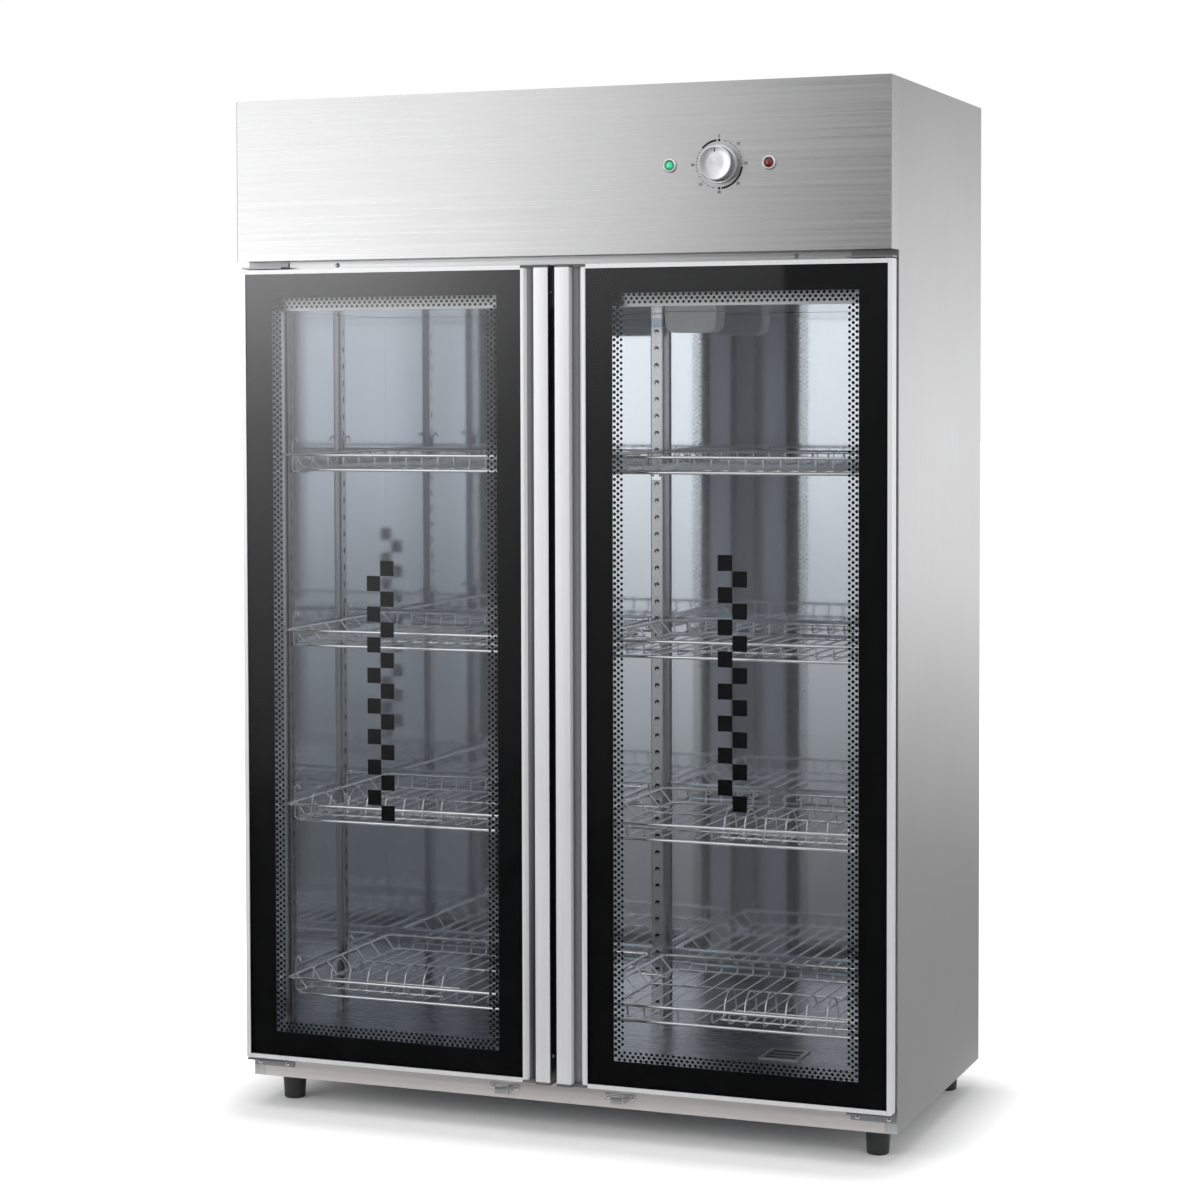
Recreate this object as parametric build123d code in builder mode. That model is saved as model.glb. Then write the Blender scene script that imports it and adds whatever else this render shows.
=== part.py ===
from build123d import *
from math import cos, radians, sin
import os

# Two-door dish sterilizer cabinet.  Millimetres, +Z up, +Y towards the back,
# origin on the floor at the centre of the overall outline.

# ---------------------------------------------------------------- driving sizes
cabinet_width = 1200.0
cabinet_height = 1800.0
cabinet_depth = 620.0        # control panel face to the back
foot_height = 50.0
sheet = 1.2                  # stainless sheet of the casing and the liner
skin_gap = 0.3               # between sheets that meet without being one piece

header_height = 283.0
header_projection = 46.0     # control panel face in front of the body's front
knob_projection = 25.0

door_gap_top = 15.0          # header to door
door_bottom = 89.0
door_side_gap = 2.0
door_meeting_gap = 12.0
door_setback = 12.0          # control panel face to the door frame's face
door_thickness = 26.0

wall_space = 25.0            # outside of the cabinet to the cavity's side
cavity_floor = 105.0
ceiling_drop = 87.0          # control panel's lower edge to the cavity's ceiling
cavity_back_gap = 62.0       # machine and insulation space behind the liner
front_flange = 22.0          # side panel's return beside the doors
rear_flange = 20.0
rail_return = 25.0           # folded edges of the front rails
rail_rise = 60.0             # top rail's hidden height behind the control panel
top_turn = 18.0              # turned edges of the top panel
pan_turn = 25.0              # turned-up back edge of the base pan
panel_corner = 2.5           # rounded vertical corners of the control panel
vent_slot = (6.0, 60.0)      # air slots near the top of the back
vent_slot_pitch = 24.0
vent_slot_count = 7
panel_inset = 14.0           # back panel behind the side panels' rear edges

# door frame and glass
lip_width = 7.5              # frame seen round the glass
lip_thickness = 1.5
glass_thickness = 4.0
glass_clearance = 0.2
stile_width = 26.0
frame_wall = 2.0
handle_width = 74.0          # whole handle stile, glass rebate included
strip_width = 27.0           # raised grip strip at the meeting edge
strip_rise = 7.0
groove_width = 20.0          # coved finger groove beside the strip
groove_depth = 8.5           # below the frame's face
ridge_width = 7.0            # land between groove and glass
cap_thickness = 5.0
gasket_width = 8.0
gasket_air = 0.3             # left between the gasket and the body's front
gasket_pivot_gap = 1.5
gasket_inset = 6.0           # from the meeting edge
gasket_end = 4.0             # from the door's top and bottom
glass_lap = 4.0              # glass behind the handle stile's ridge
groove_flat = 6.0            # flat floor of the groove beside the strip

# hinges
pivot_inset = 10.0           # pivot axis inside the door's outer edge
pivot_back = 13.0            # pivot axis behind the frame's face
pin_radius = 4.0
pin_clearance = 0.05
pin_reach = 16.0             # pin length inside the door
bracket_length = 78.0
bracket_thickness = 3.0
bracket_air = 2.0            # bracket to the door's end
top_leg = 12.0               # turned legs of the brackets, on the body's front
bottom_leg = 18.0
bush_height = 24.0
bush_end = 4.0               # closed end past the pin
bracket_setback = 3.0        # bracket's edge behind the frame's face

# controls
dial_inset = 295.5           # dial's axis from the cabinet's right side
dial_rise = 4.0              # dial's axis above the control panel's middle
lamp_spacing = 87.0
lamp_hole_radius = 8.0
lamp_depth = 14.0            # lamp body behind the control panel
lens_rise = 1.0              # lens in front of its bezel
lens_radius = 7.8
bezel_radius = 12.0
bezel_projection = 4.0
knob_radius = 29.0
knob_skirt_radius = 32.0
knob_skirt = 4.0
knob_air = 1.0
flute_count = 36
flute_depth = 0.9
round_sides = 24             # flats that stand for the small round rims
shaft_radius = 3.0
shaft_hole_radius = 5.0
shaft_reach = 12.0           # knob's shaft behind the control panel
timer_half = 22.0
timer_bore = 20.0

# racks
tier_count = 4
first_tier = 190.0           # underside of the lowest racks
slot_pitch = 31.75
rack_inner_gap = 12.0        # rack end to the cabinet's centre line
rack_outer_gap = 13.0        # rack end to the cavity's side wall
rack_front = 48.0            # body front to the rack's front wires
rack_back_gap = 3.0          # rear wires to the centre channel
rack_height = 32.0
rack_taper = 20.0            # each end of the bottom frame inside the rim
frame_wire = 4.0
cross_wire = 3.0
cross_wire_pitch = 31.0
cross_wire_margin = 5.0      # least space from the outermost cross wire to the end
end_wire_count = 3
back_wire_step = 4

# plate dividers
divided_tiers = 2            # lowest tiers that hold plates upright
divider_share = 0.55         # part of the rack's bottom frame that a divider fills
divider_pitch = 37.0
divider_foot_span = 78.0
divider_top_span = 34.0
divider_height = 50.0
divider_front = 33.0         # rack front wires to the front feet
divider_end_gap = 17.0       # outermost arch to the end of the rack's bottom frame

# uprights
pilaster_width = 22.0
pilaster_stand = 8.0
pilaster_front = 94.0        # body front to the front pilasters' centre
pilaster_spacing = 217.0
slot_width = 5.0
slot_height = 9.0
slots_each_tier = 2
post_width = 25.0            # rear centre channel
post_depth = 25.0
front_post_width = 50.0
clip_sheet = 2.0
clip_air = 0.3
clip_side_air = 0.5
tab_past = 2.0               # hook tab behind the upright's face
rear_bracket_lap = 40.0      # brackets under the racks' rear and front edges
front_bracket_lap = 30.0

# mains inlet at the back
gland_radius = 12.0
gland_projection = 10.0
gland_inset = 120.0
gland_height = 60.0
cord_hole_radius = 4.5
gland_flats = 6
cord_hole_sides = 12

# feet, catches, screws
foot_top_radius = 22.0
foot_bottom_radius = 19.0
foot_sides = 16
foot_inset_x = 50.0
foot_front_inset = 60.0
foot_back_inset = 45.0
catch_x = 108.0
catch_drop = 13.5            # door's lower edge to the catches
catch_flange = (56.0, 2.0, 13.0)
catch_block = (23.0, 20.0, 15.5)
catch_screw_inset = 5.8
screw_head_radius = 4.0
screw_head_flats = 6
screw_head_height = 2.0
rail_screw_inset = 176.0     # screws of the top rail, seen above the doors
bracket_screw_inset = 12.0

# air and lamp
vent_inset = 250.0           # floor grille's centre from the cavity's right side
vent_forward = 4.0           # and in front of the cavity's middle
vent_cell = (58.0, 18.0)
vent_cell_pitch = 22.0
vent_cell_count = 3
vent_frame = 8.0
vent_frame_rise = 2.0
tube_radius = 8.0
tube_length = 128.0
tube_forward = 133.5         # tube's axis in front of the cavity's back
lamp_holder = (100.0, 50.0, 38.0)
lamp_holder_corner = 16.0
fan_radius = 40.0
fan_frame = 92.0
fan_height = 22.0
fan_tip_air = 3.0
fan_bar = 5.0                # half width of the bar that carries the impeller
fan_bar_thickness = 3.0
fan_air = 0.4
hub_radius = 15.0
hub_height = 17.0
blade_count = 5
blade_size = (24.0, 18.0, 1.6)
blade_middle = 25.0
blade_pitch = 35.0
heater_half_depth = 36.0
ballast_x = (-60.0, 120.0)
ballast_front = 120.0        # behind the body's front
ballast_size = (50.0, 38.0)

# ---------------------------------------------------------------- derived places
half_width = cabinet_width / 2
header_front = -(cabinet_depth - knob_projection) / 2
cabinet_back = header_front + cabinet_depth
body_front = header_front + header_projection
header_bottom = cabinet_height - header_height
back_panel_face = cabinet_back - panel_inset

door_outer = half_width - door_side_gap
door_inner = door_meeting_gap / 2
door_front = header_front + door_setback
door_back = door_front + door_thickness
door_top = header_bottom - door_gap_top
strip_front = door_front - strip_rise
glass_front = door_front + lip_thickness + glass_clearance
glass_back = glass_front + glass_thickness
rebate_back = glass_back + glass_clearance
pivot_x = door_outer - pivot_inset
pivot_y = door_front + pivot_back
gasket_outer = pivot_x - gasket_pivot_gap
handle_outer = door_inner + handle_width

cavity_half = half_width - wall_space
cavity_ceiling = header_bottom - ceiling_drop
cavity_back = cabinet_back - cavity_back_gap
liner_front = body_front + sheet + skin_gap
dial_x = half_width - dial_inset
dial_z = header_bottom + header_height / 2 + dial_rise

centre_channel_face = cavity_back - post_depth
tier_slots = round((cavity_ceiling - first_tier) / (slot_pitch * tier_count))
tier_pitch = slot_pitch * tier_slots
tiers = [first_tier + tier_pitch * n for n in range(tier_count)]
rack_inner = rack_inner_gap
rack_outer = cavity_half - rack_outer_gap
rack_length = rack_outer - rack_inner
rack_middle = (rack_inner + rack_outer) / 2
rack_y0 = body_front + rack_front
rack_y1 = centre_channel_face - rack_back_gap
rack_depth = rack_y1 - rack_y0
bottom_length = rack_length - 2 * rack_taper
cross_wire_count = 2 * int((bottom_length / 2 - cross_wire_margin) / cross_wire_pitch) + 1
divider_count = int(bottom_length * divider_share / divider_pitch) + 1
pilaster_ys = [body_front + pilaster_front + pilaster_spacing * n for n in (0, 1)]
pilaster_face = cavity_half - pilaster_stand
vent_x = cavity_half - vent_inset
vent_y = (body_front + cavity_back) / 2 - vent_forward

os.makedirs("parts", exist_ok=True)


def save(part, name):
    """Label one finished piece and write it."""
    part.label = name
    export_step(part, f"parts/{name}.step")


def save_pair(right_part, name):
    """Write a right-hand piece and its mirror image."""
    save(right_part, name + "_right")
    with BuildPart() as left:
        mirror(right_part, about=Plane.YZ)
    save(left.part, name + "_left")


def bar(x, y, z, mode=Mode.ADD):
    """A block between two values on each axis, in the open part."""
    middle = tuple((low + high) / 2 for low, high in (x, y, z))
    with Locations(middle):
        Box(x[1] - x[0], y[1] - y[0], z[1] - z[0], mode=mode)


def upright_profile(points, low, high):
    """A closed plan outline raised from one height to another."""
    with BuildSketch(Plane.XY.offset(low)) as outline:
        with BuildLine():
            Polyline(*points, close=True)
        make_face()
    extrude(outline.sketch, amount=high - low)


def crossways_profile(points, low, high):
    """A closed outline of (y, z) points run along X."""
    with BuildSketch(Plane.YZ.offset(low)) as outline:
        with BuildLine():
            Polyline(*points, close=True)
        make_face()
    extrude(outline.sketch, amount=high - low)


def screw_heads(points, face):
    """Six-sided screw heads at (x, z) points on a face that looks forward."""
    with BuildSketch(Plane.XZ.offset(-face)) as heads:
        with Locations(*points):
            RegularPolygon(screw_head_radius, screw_head_flats)
    extrude(heads.sketch, amount=screw_head_height)


# ---------------------------------------------------------------- casing
with BuildPart() as side_panel:
    upright_profile(
        [
            (half_width - front_flange, body_front),
            (half_width, body_front),
            (half_width, cabinet_back),
            (half_width - rear_flange, cabinet_back),
            (half_width - rear_flange, cabinet_back - sheet),
            (half_width - sheet, cabinet_back - sheet),
            (half_width - sheet, body_front + sheet),
            (half_width - front_flange, body_front + sheet),
        ],
        foot_height,
        cabinet_height,
    )
save_pair(side_panel.part, "side_panel")

panel_half = half_width - sheet - skin_gap
pan_back = back_panel_face - sheet - skin_gap

with BuildPart() as top_panel:
    turned_down = cabinet_height - top_turn
    crossways_profile(
        [
            (body_front + sheet + skin_gap, turned_down),
            (body_front + sheet + skin_gap, cabinet_height),
            (pan_back, cabinet_height),
            (pan_back, turned_down),
            (pan_back - sheet, turned_down),
            (pan_back - sheet, cabinet_height - sheet),
            (body_front + 2 * sheet + skin_gap, cabinet_height - sheet),
            (body_front + 2 * sheet + skin_gap, turned_down),
        ],
        -panel_half,
        panel_half,
    )
save(top_panel.part, "top_panel")

# Air slots of the machine space, near the top of the back.
with BuildPart() as back_panel:
    bar((-panel_half, panel_half), (back_panel_face - sheet, back_panel_face), (foot_height, cabinet_height))
    vent_height = (cavity_ceiling + cabinet_height) / 2
    with BuildSketch(Plane.XZ.offset(-back_panel_face)):
        with Locations((0, vent_height)):
            with GridLocations(vent_slot_pitch, 0, vent_slot_count, 1):
                Rectangle(*vent_slot)
    extrude(amount=sheet, mode=Mode.SUBTRACT)
save(back_panel.part, "back_panel")

with BuildPart() as base_pan:
    pan_front = body_front + sheet + skin_gap
    turned_up = foot_height + pan_turn
    crossways_profile(
        [
            (pan_front, foot_height),
            (pan_back, foot_height),
            (pan_back, turned_up),
            (pan_back - sheet, turned_up),
            (pan_back - sheet, foot_height + sheet),
            (pan_front, foot_height + sheet),
        ],
        -panel_half,
        panel_half,
    )
save(base_pan.part, "base_pan")

# Control panel: a folded box, open at the back, with its side returns flush
# with the side panels.
with BuildPart() as header_fascia:
    header_back = body_front - skin_gap
    bar((-half_width, half_width), (header_front, header_back), (header_bottom, cabinet_height))
    front_corners = header_fascia.edges().filter_by(Axis.Z).group_by(Axis.Y)[0]
    fillet(front_corners, radius=panel_corner)
    bar(
        (-half_width + sheet, half_width - sheet),
        (header_front + sheet, header_back),
        (header_bottom + sheet, cabinet_height - sheet),
        mode=Mode.SUBTRACT,
    )
    with BuildSketch(Plane.XZ.offset(-header_front)):
        with Locations((dial_x, dial_z)):
            Circle(shaft_hole_radius)
        with Locations((dial_x - lamp_spacing, dial_z), (dial_x + lamp_spacing, dial_z)):
            Circle(lamp_hole_radius)
    extrude(amount=-sheet, mode=Mode.SUBTRACT)
save(header_fascia.part, "header_fascia")

# Cross rails of the body's front: one behind the control panel, one under
# the doors.  The gaskets close on them and on the side panels' returns.
rail_half = half_width - front_flange - skin_gap

with BuildPart() as top_rail:
    rail_top = header_bottom + rail_rise
    crossways_profile(
        [
            (body_front, cavity_ceiling),
            (body_front, rail_top),
            (body_front + rail_return, rail_top),
            (body_front + rail_return, rail_top - sheet),
            (body_front + sheet, rail_top - sheet),
            (body_front + sheet, cavity_ceiling + sheet),
            (body_front + rail_return, cavity_ceiling + sheet),
            (body_front + rail_return, cavity_ceiling),
        ],
        -rail_half,
        rail_half,
    )
save(top_rail.part, "top_rail")

with BuildPart() as bottom_rail:
    crossways_profile(
        [
            (body_front, foot_height),
            (body_front, cavity_floor),
            (body_front + rail_return, cavity_floor),
            (body_front + rail_return, cavity_floor - sheet),
            (body_front + sheet, cavity_floor - sheet),
            (body_front + sheet, foot_height),
        ],
        -rail_half,
        rail_half,
    )
save(bottom_rail.part, "bottom_rail")

with BuildPart() as front_post:
    post_half = front_post_width / 2
    post_back = body_front + post_depth
    upright_profile(
        [
            (-post_half, post_back),
            (-post_half, body_front),
            (post_half, body_front),
            (post_half, post_back),
            (post_half - sheet, post_back),
            (post_half - sheet, body_front + sheet),
            (-post_half + sheet, body_front + sheet),
            (-post_half + sheet, post_back),
        ],
        cavity_floor + skin_gap,
        cavity_ceiling - skin_gap,
    )
save(front_post.part, "front_centre_post")

# ---------------------------------------------------------------- liner
liner_low = cavity_floor
liner_high = cavity_ceiling
with BuildPart() as liner_side:
    upright_profile(
        [
            (half_width - sheet - skin_gap, liner_front),
            (cavity_half, liner_front),
            (cavity_half, cavity_back),
            (cavity_half + sheet, cavity_back),
            (cavity_half + sheet, liner_front + sheet),
            (half_width - sheet - skin_gap, liner_front + sheet),
        ],
        liner_low,
        liner_high,
    )
save_pair(liner_side.part, "liner_side")

liner_half = cavity_half + sheet
with BuildPart() as liner_back:
    bar(
        (-liner_half, liner_half),
        (cavity_back + skin_gap, cavity_back + skin_gap + sheet),
        (liner_low, liner_high),
    )
save(liner_back.part, "liner_back")

with BuildPart() as liner_ceiling:
    bar(
        (-liner_half, liner_half),
        (body_front + rail_return + skin_gap, cavity_back + skin_gap + sheet),
        (liner_high + skin_gap, liner_high + skin_gap + sheet),
    )
save(liner_ceiling.part, "liner_ceiling")

# Warm air comes up through slots in the floor.
with BuildPart() as liner_floor:
    bar(
        (-liner_half, liner_half),
        (body_front + rail_return + skin_gap, cavity_back + skin_gap + sheet),
        (liner_low - skin_gap - sheet, liner_low - skin_gap),
    )
    with BuildSketch(Plane.XY.offset(liner_low - skin_gap)):
        with Locations((vent_x, vent_y)):
            with GridLocations(0, vent_cell_pitch, 1, vent_cell_count):
                Rectangle(*vent_cell)
    extrude(amount=-sheet, mode=Mode.SUBTRACT)
save(liner_floor.part, "liner_floor")

with BuildPart() as vent_grille:
    grille_low = liner_low - skin_gap
    with BuildSketch(Plane.XY.offset(grille_low)):
        with Locations((vent_x, vent_y)):
            Rectangle(
                vent_cell[0] + 2 * vent_frame,
                vent_cell_pitch * (vent_cell_count - 1) + vent_cell[1] + 2 * vent_frame,
            )
            with GridLocations(0, vent_cell_pitch, 1, vent_cell_count):
                Rectangle(*vent_cell, mode=Mode.SUBTRACT)
    extrude(amount=vent_frame_rise)
save(vent_grille.part, "floor_vent_grille")


# ---------------------------------------------------------------- uprights
def slot_heights():
    """Centres of the hook slots that serve each tier."""
    return [
        tier + rack_height - slot_pitch * step
        for tier in tiers
        for step in range(slots_each_tier)
    ]


upright_low = cavity_floor + skin_gap
upright_high = cavity_ceiling - skin_gap

with BuildPart() as pilasters:
    for pilaster_y in pilaster_ys:
        near, far = pilaster_y - pilaster_width / 2, pilaster_y + pilaster_width / 2
        upright_profile(
            [
                (cavity_half, near),
                (pilaster_face, near),
                (pilaster_face, far),
                (cavity_half, far),
                (cavity_half, far - sheet),
                (pilaster_face + sheet, far - sheet),
                (pilaster_face + sheet, near + sheet),
                (cavity_half, near + sheet),
            ],
            upright_low,
            upright_high,
        )
        with BuildSketch(Plane.YZ.offset(pilaster_face)):
            with Locations([(pilaster_y, height) for height in slot_heights()]):
                Rectangle(slot_width, slot_height)
        extrude(amount=sheet, mode=Mode.SUBTRACT)
save_pair(pilasters.part, "pilasters")

with BuildPart() as rear_channel:
    channel_half = post_width / 2
    upright_profile(
        [
            (-channel_half, cavity_back),
            (-channel_half, centre_channel_face),
            (channel_half, centre_channel_face),
            (channel_half, cavity_back),
            (channel_half - sheet, cavity_back),
            (channel_half - sheet, centre_channel_face + sheet),
            (-channel_half + sheet, centre_channel_face + sheet),
            (-channel_half + sheet, cavity_back),
        ],
        upright_low,
        upright_high,
    )
    with BuildSketch(Plane.XZ.offset(-centre_channel_face)):
        with Locations([(0, height) for height in slot_heights()]):
            Rectangle(slot_height, slot_height)
    extrude(amount=-sheet, mode=Mode.SUBTRACT)
save(rear_channel.part, "rear_centre_channel")


# ---------------------------------------------------------------- racks
def make_rack(low):
    """One welded wire rack for the right-hand side, its underside at low."""
    taper = rack_taper
    rim_low = low + rack_height - frame_wire
    with BuildPart() as rack:
        # bottom grid: frame and cross wires in one level
        with BuildSketch(Plane.XY.offset(low)):
            with Locations((rack_middle, (rack_y0 + rack_y1) / 2)):
                Rectangle(bottom_length, rack_depth)
                Rectangle(bottom_length - 2 * frame_wire, rack_depth - 2 * frame_wire, mode=Mode.SUBTRACT)
                with GridLocations(cross_wire_pitch, 0, cross_wire_count, 1):
                    Rectangle(cross_wire, rack_depth)
        extrude(amount=frame_wire)
        # the rim, longer than the bottom at each end
        with BuildSketch(Plane.XY.offset(rim_low)):
            with Locations((rack_middle, (rack_y0 + rack_y1) / 2)):
                Rectangle(rack_length, rack_depth)
                Rectangle(rack_length - 2 * frame_wire, rack_depth - 2 * frame_wire, mode=Mode.SUBTRACT)
        extrude(amount=frame_wire)
        # every cross wire turns up at the front, and every fourth at the back
        back_count = (cross_wire_count - 1) // back_wire_step + 1
        turned_up = (
            (rack_y0, cross_wire_count, cross_wire_pitch),
            (rack_y1 - frame_wire, back_count, cross_wire_pitch * back_wire_step),
        )
        for start, count, pitch in turned_up:
            with BuildSketch(Plane.XY.offset(low + frame_wire)):
                with Locations((rack_middle, start + frame_wire / 2)):
                    with GridLocations(pitch, 0, count, 1):
                        Rectangle(cross_wire, frame_wire)
            extrude(amount=rack_height - 2 * frame_wire)
        # end wires lean outwards from the frame to the rim
        step = (rack_depth - frame_wire) / (end_wire_count - 1)
        for n in range(end_wire_count):
            wire_back = rack_y0 + step * n + frame_wire
            for x, lean in ((rack_outer - taper, taper), (rack_inner + taper, -taper)):
                inward = -frame_wire if lean > 0 else frame_wire
                with BuildSketch(Plane.XZ.offset(-wire_back)):
                    with BuildLine():
                        Polyline(
                            (x, low + frame_wire),
                            (x + lean, rim_low),
                            (x + lean + inward, rim_low),
                            (x + inward, low + frame_wire),
                            close=True,
                        )
                    make_face()
                extrude(amount=frame_wire)
    return rack.part


for number, tier in enumerate(tiers, start=1):
    save_pair(make_rack(tier), f"rack_{number}")


def add_divider(low):
    """Arches that hold plates upright, standing on a rack's bottom grid."""
    feet_low = low + frame_wire
    front = rack_y0 + divider_front
    last_arch = rack_outer - rack_taper - divider_end_gap
    first_arch = last_arch - divider_pitch * (divider_count - 1)
    lean = (divider_foot_span - divider_top_span) / 2
    arch_low = feet_low + cross_wire
    arch_high = feet_low + divider_height
    for y in (front, front + divider_foot_span - cross_wire):
        bar(
            (first_arch - cross_wire, last_arch + 2 * cross_wire),
            (y, y + cross_wire),
            (feet_low, arch_low),
        )
    for n in range(divider_count):
        with BuildSketch(Plane.YZ.offset(first_arch + divider_pitch * n)) as arch:
            with BuildLine():
                Polyline(
                    (front, arch_low),
                    (front + lean, arch_high),
                    (front + divider_foot_span - lean, arch_high),
                    (front + divider_foot_span, arch_low),
                    (front + divider_foot_span - cross_wire, arch_low),
                    (front + divider_foot_span - lean - cross_wire, arch_high - cross_wire),
                    (front + lean + cross_wire, arch_high - cross_wire),
                    (front + cross_wire, arch_low),
                    close=True,
                )
            make_face()
        extrude(arch.sketch, amount=cross_wire)


with BuildPart() as plate_dividers:
    for tier in tiers[:divided_tiers]:
        add_divider(tier)
save_pair(plate_dividers.part, "plate_dividers")

# Hooked clips carry the racks' outer ends: a tab in the upright's slot, a web
# beside the rack's end, and a foot under the bottom frame.
with BuildPart() as rack_clips:
    web_outer = pilaster_face - clip_air
    web_inner = web_outer - clip_sheet
    foot_end = rack_outer - rack_taper - frame_wire
    tab_end = pilaster_face + sheet + tab_past
    for tier in tiers:
        foot_top = tier - clip_air
        tab_top = tier + rack_height + clip_sheet / 2
        for y in pilaster_ys:
            with BuildSketch(Plane.XZ.offset(-(y + slot_width / 2 - clip_side_air))):
                with BuildLine():
                    Polyline(
                        (foot_end, foot_top),
                        (web_inner, foot_top),
                        (web_inner, tab_top),
                        (tab_end, tab_top),
                        (tab_end, tab_top - clip_sheet),
                        (web_outer, tab_top - clip_sheet),
                        (web_outer, foot_top - clip_sheet),
                        (foot_end, foot_top - clip_sheet),
                        close=True,
                    )
                make_face()
            extrude(amount=slot_width - 2 * clip_side_air)
    mirror(about=Plane.YZ)
save(rack_clips.part, "rack_clips")

# Centre brackets carry the inner ends of a left and a right rack together.
bracket_reach = rack_inner + rack_taper + frame_wire
with BuildPart() as centre_brackets:
    for tier in tiers:
        top = tier - clip_air
        for root, tip in (
            (centre_channel_face, rack_y1 - rear_bracket_lap),
            (post_back, rack_y0 + front_bracket_lap),
        ):
            with BuildSketch(Plane.XY.offset(top)):
                with BuildLine():
                    Polyline(
                        (-post_width / 2, root),
                        (-bracket_reach, tip),
                        (bracket_reach, tip),
                        (post_width / 2, root),
                        close=True,
                    )
                make_face()
            extrude(amount=-clip_sheet)
save(centre_brackets.part, "centre_brackets")


# ---------------------------------------------------------------- doors
door_low = door_bottom + cap_thickness
door_high = door_top - cap_thickness
frame_low = door_bottom
groove_start = door_inner + strip_width
groove_end = groove_start + groove_width
ridge_end = groove_end + ridge_width
groove_bottom = door_front + groove_depth
glass_edge_inner = ridge_end - glass_lap
glass_edge_outer = door_outer - lip_thickness - glass_clearance

with BuildPart() as handle_stile:
    with BuildSketch(Plane.XY.offset(door_low)):
        with BuildLine():
            Polyline(
                (groove_end, door_front),
                (ridge_end, door_front),
                (ridge_end, door_front + lip_thickness),
                (glass_edge_inner - glass_clearance, door_front + lip_thickness),
                (glass_edge_inner - glass_clearance, rebate_back),
                (handle_outer, rebate_back),
                (handle_outer, door_back),
                (door_inner, door_back),
                (door_inner, strip_front),
                (groove_start, strip_front),
                (groove_start, groove_bottom),
                (groove_start + groove_flat, groove_bottom),
            )
            TangentArc((groove_start + groove_flat, groove_bottom), (groove_end, door_front), tangent=(1, 0))
        make_face()
        chamber_front = groove_bottom + frame_wall
        with Locations(((door_inner + handle_outer) / 2, (chamber_front + door_back - frame_wall) / 2)):
            Rectangle(
                handle_width - 2 * frame_wall,
                door_back - frame_wall - chamber_front,
                mode=Mode.SUBTRACT,
            )
        with Locations((door_inner + strip_width / 2, (strip_front + groove_bottom) / 2)):
            Rectangle(
                strip_width - 2 * frame_wall,
                groove_bottom - strip_front - 2 * frame_wall,
                mode=Mode.SUBTRACT,
            )
    extrude(amount=door_high - door_low)
save_pair(handle_stile.part, "handle_stile")

with BuildPart() as handle_caps:
    for low in (frame_low, door_high):
        upright_profile(
            [
                (door_inner, strip_front),
                (groove_start, strip_front),
                (groove_start, door_front),
                (ridge_end, door_front),
                (ridge_end, door_front + lip_thickness),
                (glass_edge_inner - glass_clearance, door_front + lip_thickness),
                (glass_edge_inner - glass_clearance, rebate_back),
                (handle_outer, rebate_back),
                (handle_outer, door_back),
                (door_inner, door_back),
            ],
            low,
            low + cap_thickness,
        )
save_pair(handle_caps.part, "handle_end_caps")

stile_inner = door_outer - stile_width
with BuildPart() as hinge_stile:
    with BuildSketch(Plane.XY.offset(frame_low)):
        with BuildLine():
            Polyline(
                (door_outer - lip_width, door_front),
                (door_outer, door_front),
                (door_outer, door_back),
                (stile_inner, door_back),
                (stile_inner, rebate_back),
                (door_outer - lip_thickness, rebate_back),
                (door_outer - lip_thickness, door_front + lip_thickness),
                (door_outer - lip_width, door_front + lip_thickness),
                close=True,
            )
        make_face()
        with Locations((door_outer - stile_width / 2, (rebate_back + door_back) / 2)):
            Rectangle(
                stile_width - 2 * frame_wall,
                door_back - rebate_back - 2 * frame_wall,
                mode=Mode.SUBTRACT,
            )
    extrude(amount=door_top - frame_low)
    lip_inner = door_outer - lip_width
save_pair(hinge_stile.part, "hinge_stile")

with BuildPart() as door_rails:
    for edge, inward in ((door_top, -1), (frame_low, 1)):
        # box section behind the glass, between the stiles
        box_edges = sorted((edge, edge + inward * stile_width))
        bar((handle_outer + skin_gap, stile_inner - skin_gap), (rebate_back, door_back), box_edges)
        hollow = sorted((edge + inward * frame_wall, edge + inward * (stile_width - frame_wall)))
        bar(
            (handle_outer + skin_gap, stile_inner - skin_gap),
            (rebate_back + frame_wall, door_back - frame_wall),
            hollow,
            mode=Mode.SUBTRACT,
        )
        # web over the glass edge and lip in front of it
        web_edges = sorted((edge, edge + inward * lip_thickness))
        bar((ridge_end + skin_gap, lip_inner - skin_gap), (door_front, rebate_back), web_edges)
        lip_edges = sorted((edge, edge + inward * lip_width))
        bar(
            (ridge_end + skin_gap, lip_inner - skin_gap),
            (door_front, door_front + lip_thickness),
            lip_edges,
        )
save_pair(door_rails.part, "door_rails")

glass_low = frame_low + lip_thickness + glass_clearance
glass_high = door_top - lip_thickness - glass_clearance
with BuildPart() as door_glass:
    bar((glass_edge_inner, glass_edge_outer), (glass_front, glass_back), (glass_low, glass_high))
save_pair(door_glass.part, "door_glass")

gasket_inner = door_inner + gasket_inset
gasket_low = frame_low + gasket_end
gasket_high = door_top - gasket_end
with BuildPart() as door_gasket:
    gasket_back = body_front - gasket_air
    with BuildSketch(Plane.XZ.offset(-gasket_back)):
        middle_x = (gasket_inner + gasket_outer) / 2
        middle_z = (gasket_low + gasket_high) / 2
        across = gasket_outer - gasket_inner
        tall = gasket_high - gasket_low
        with Locations((middle_x, middle_z)):
            Rectangle(across, tall)
            Rectangle(across - 2 * gasket_width, tall - 2 * gasket_width, mode=Mode.SUBTRACT)
    extrude(amount=gasket_back - door_back)
save_pair(door_gasket.part, "door_gasket")

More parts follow.
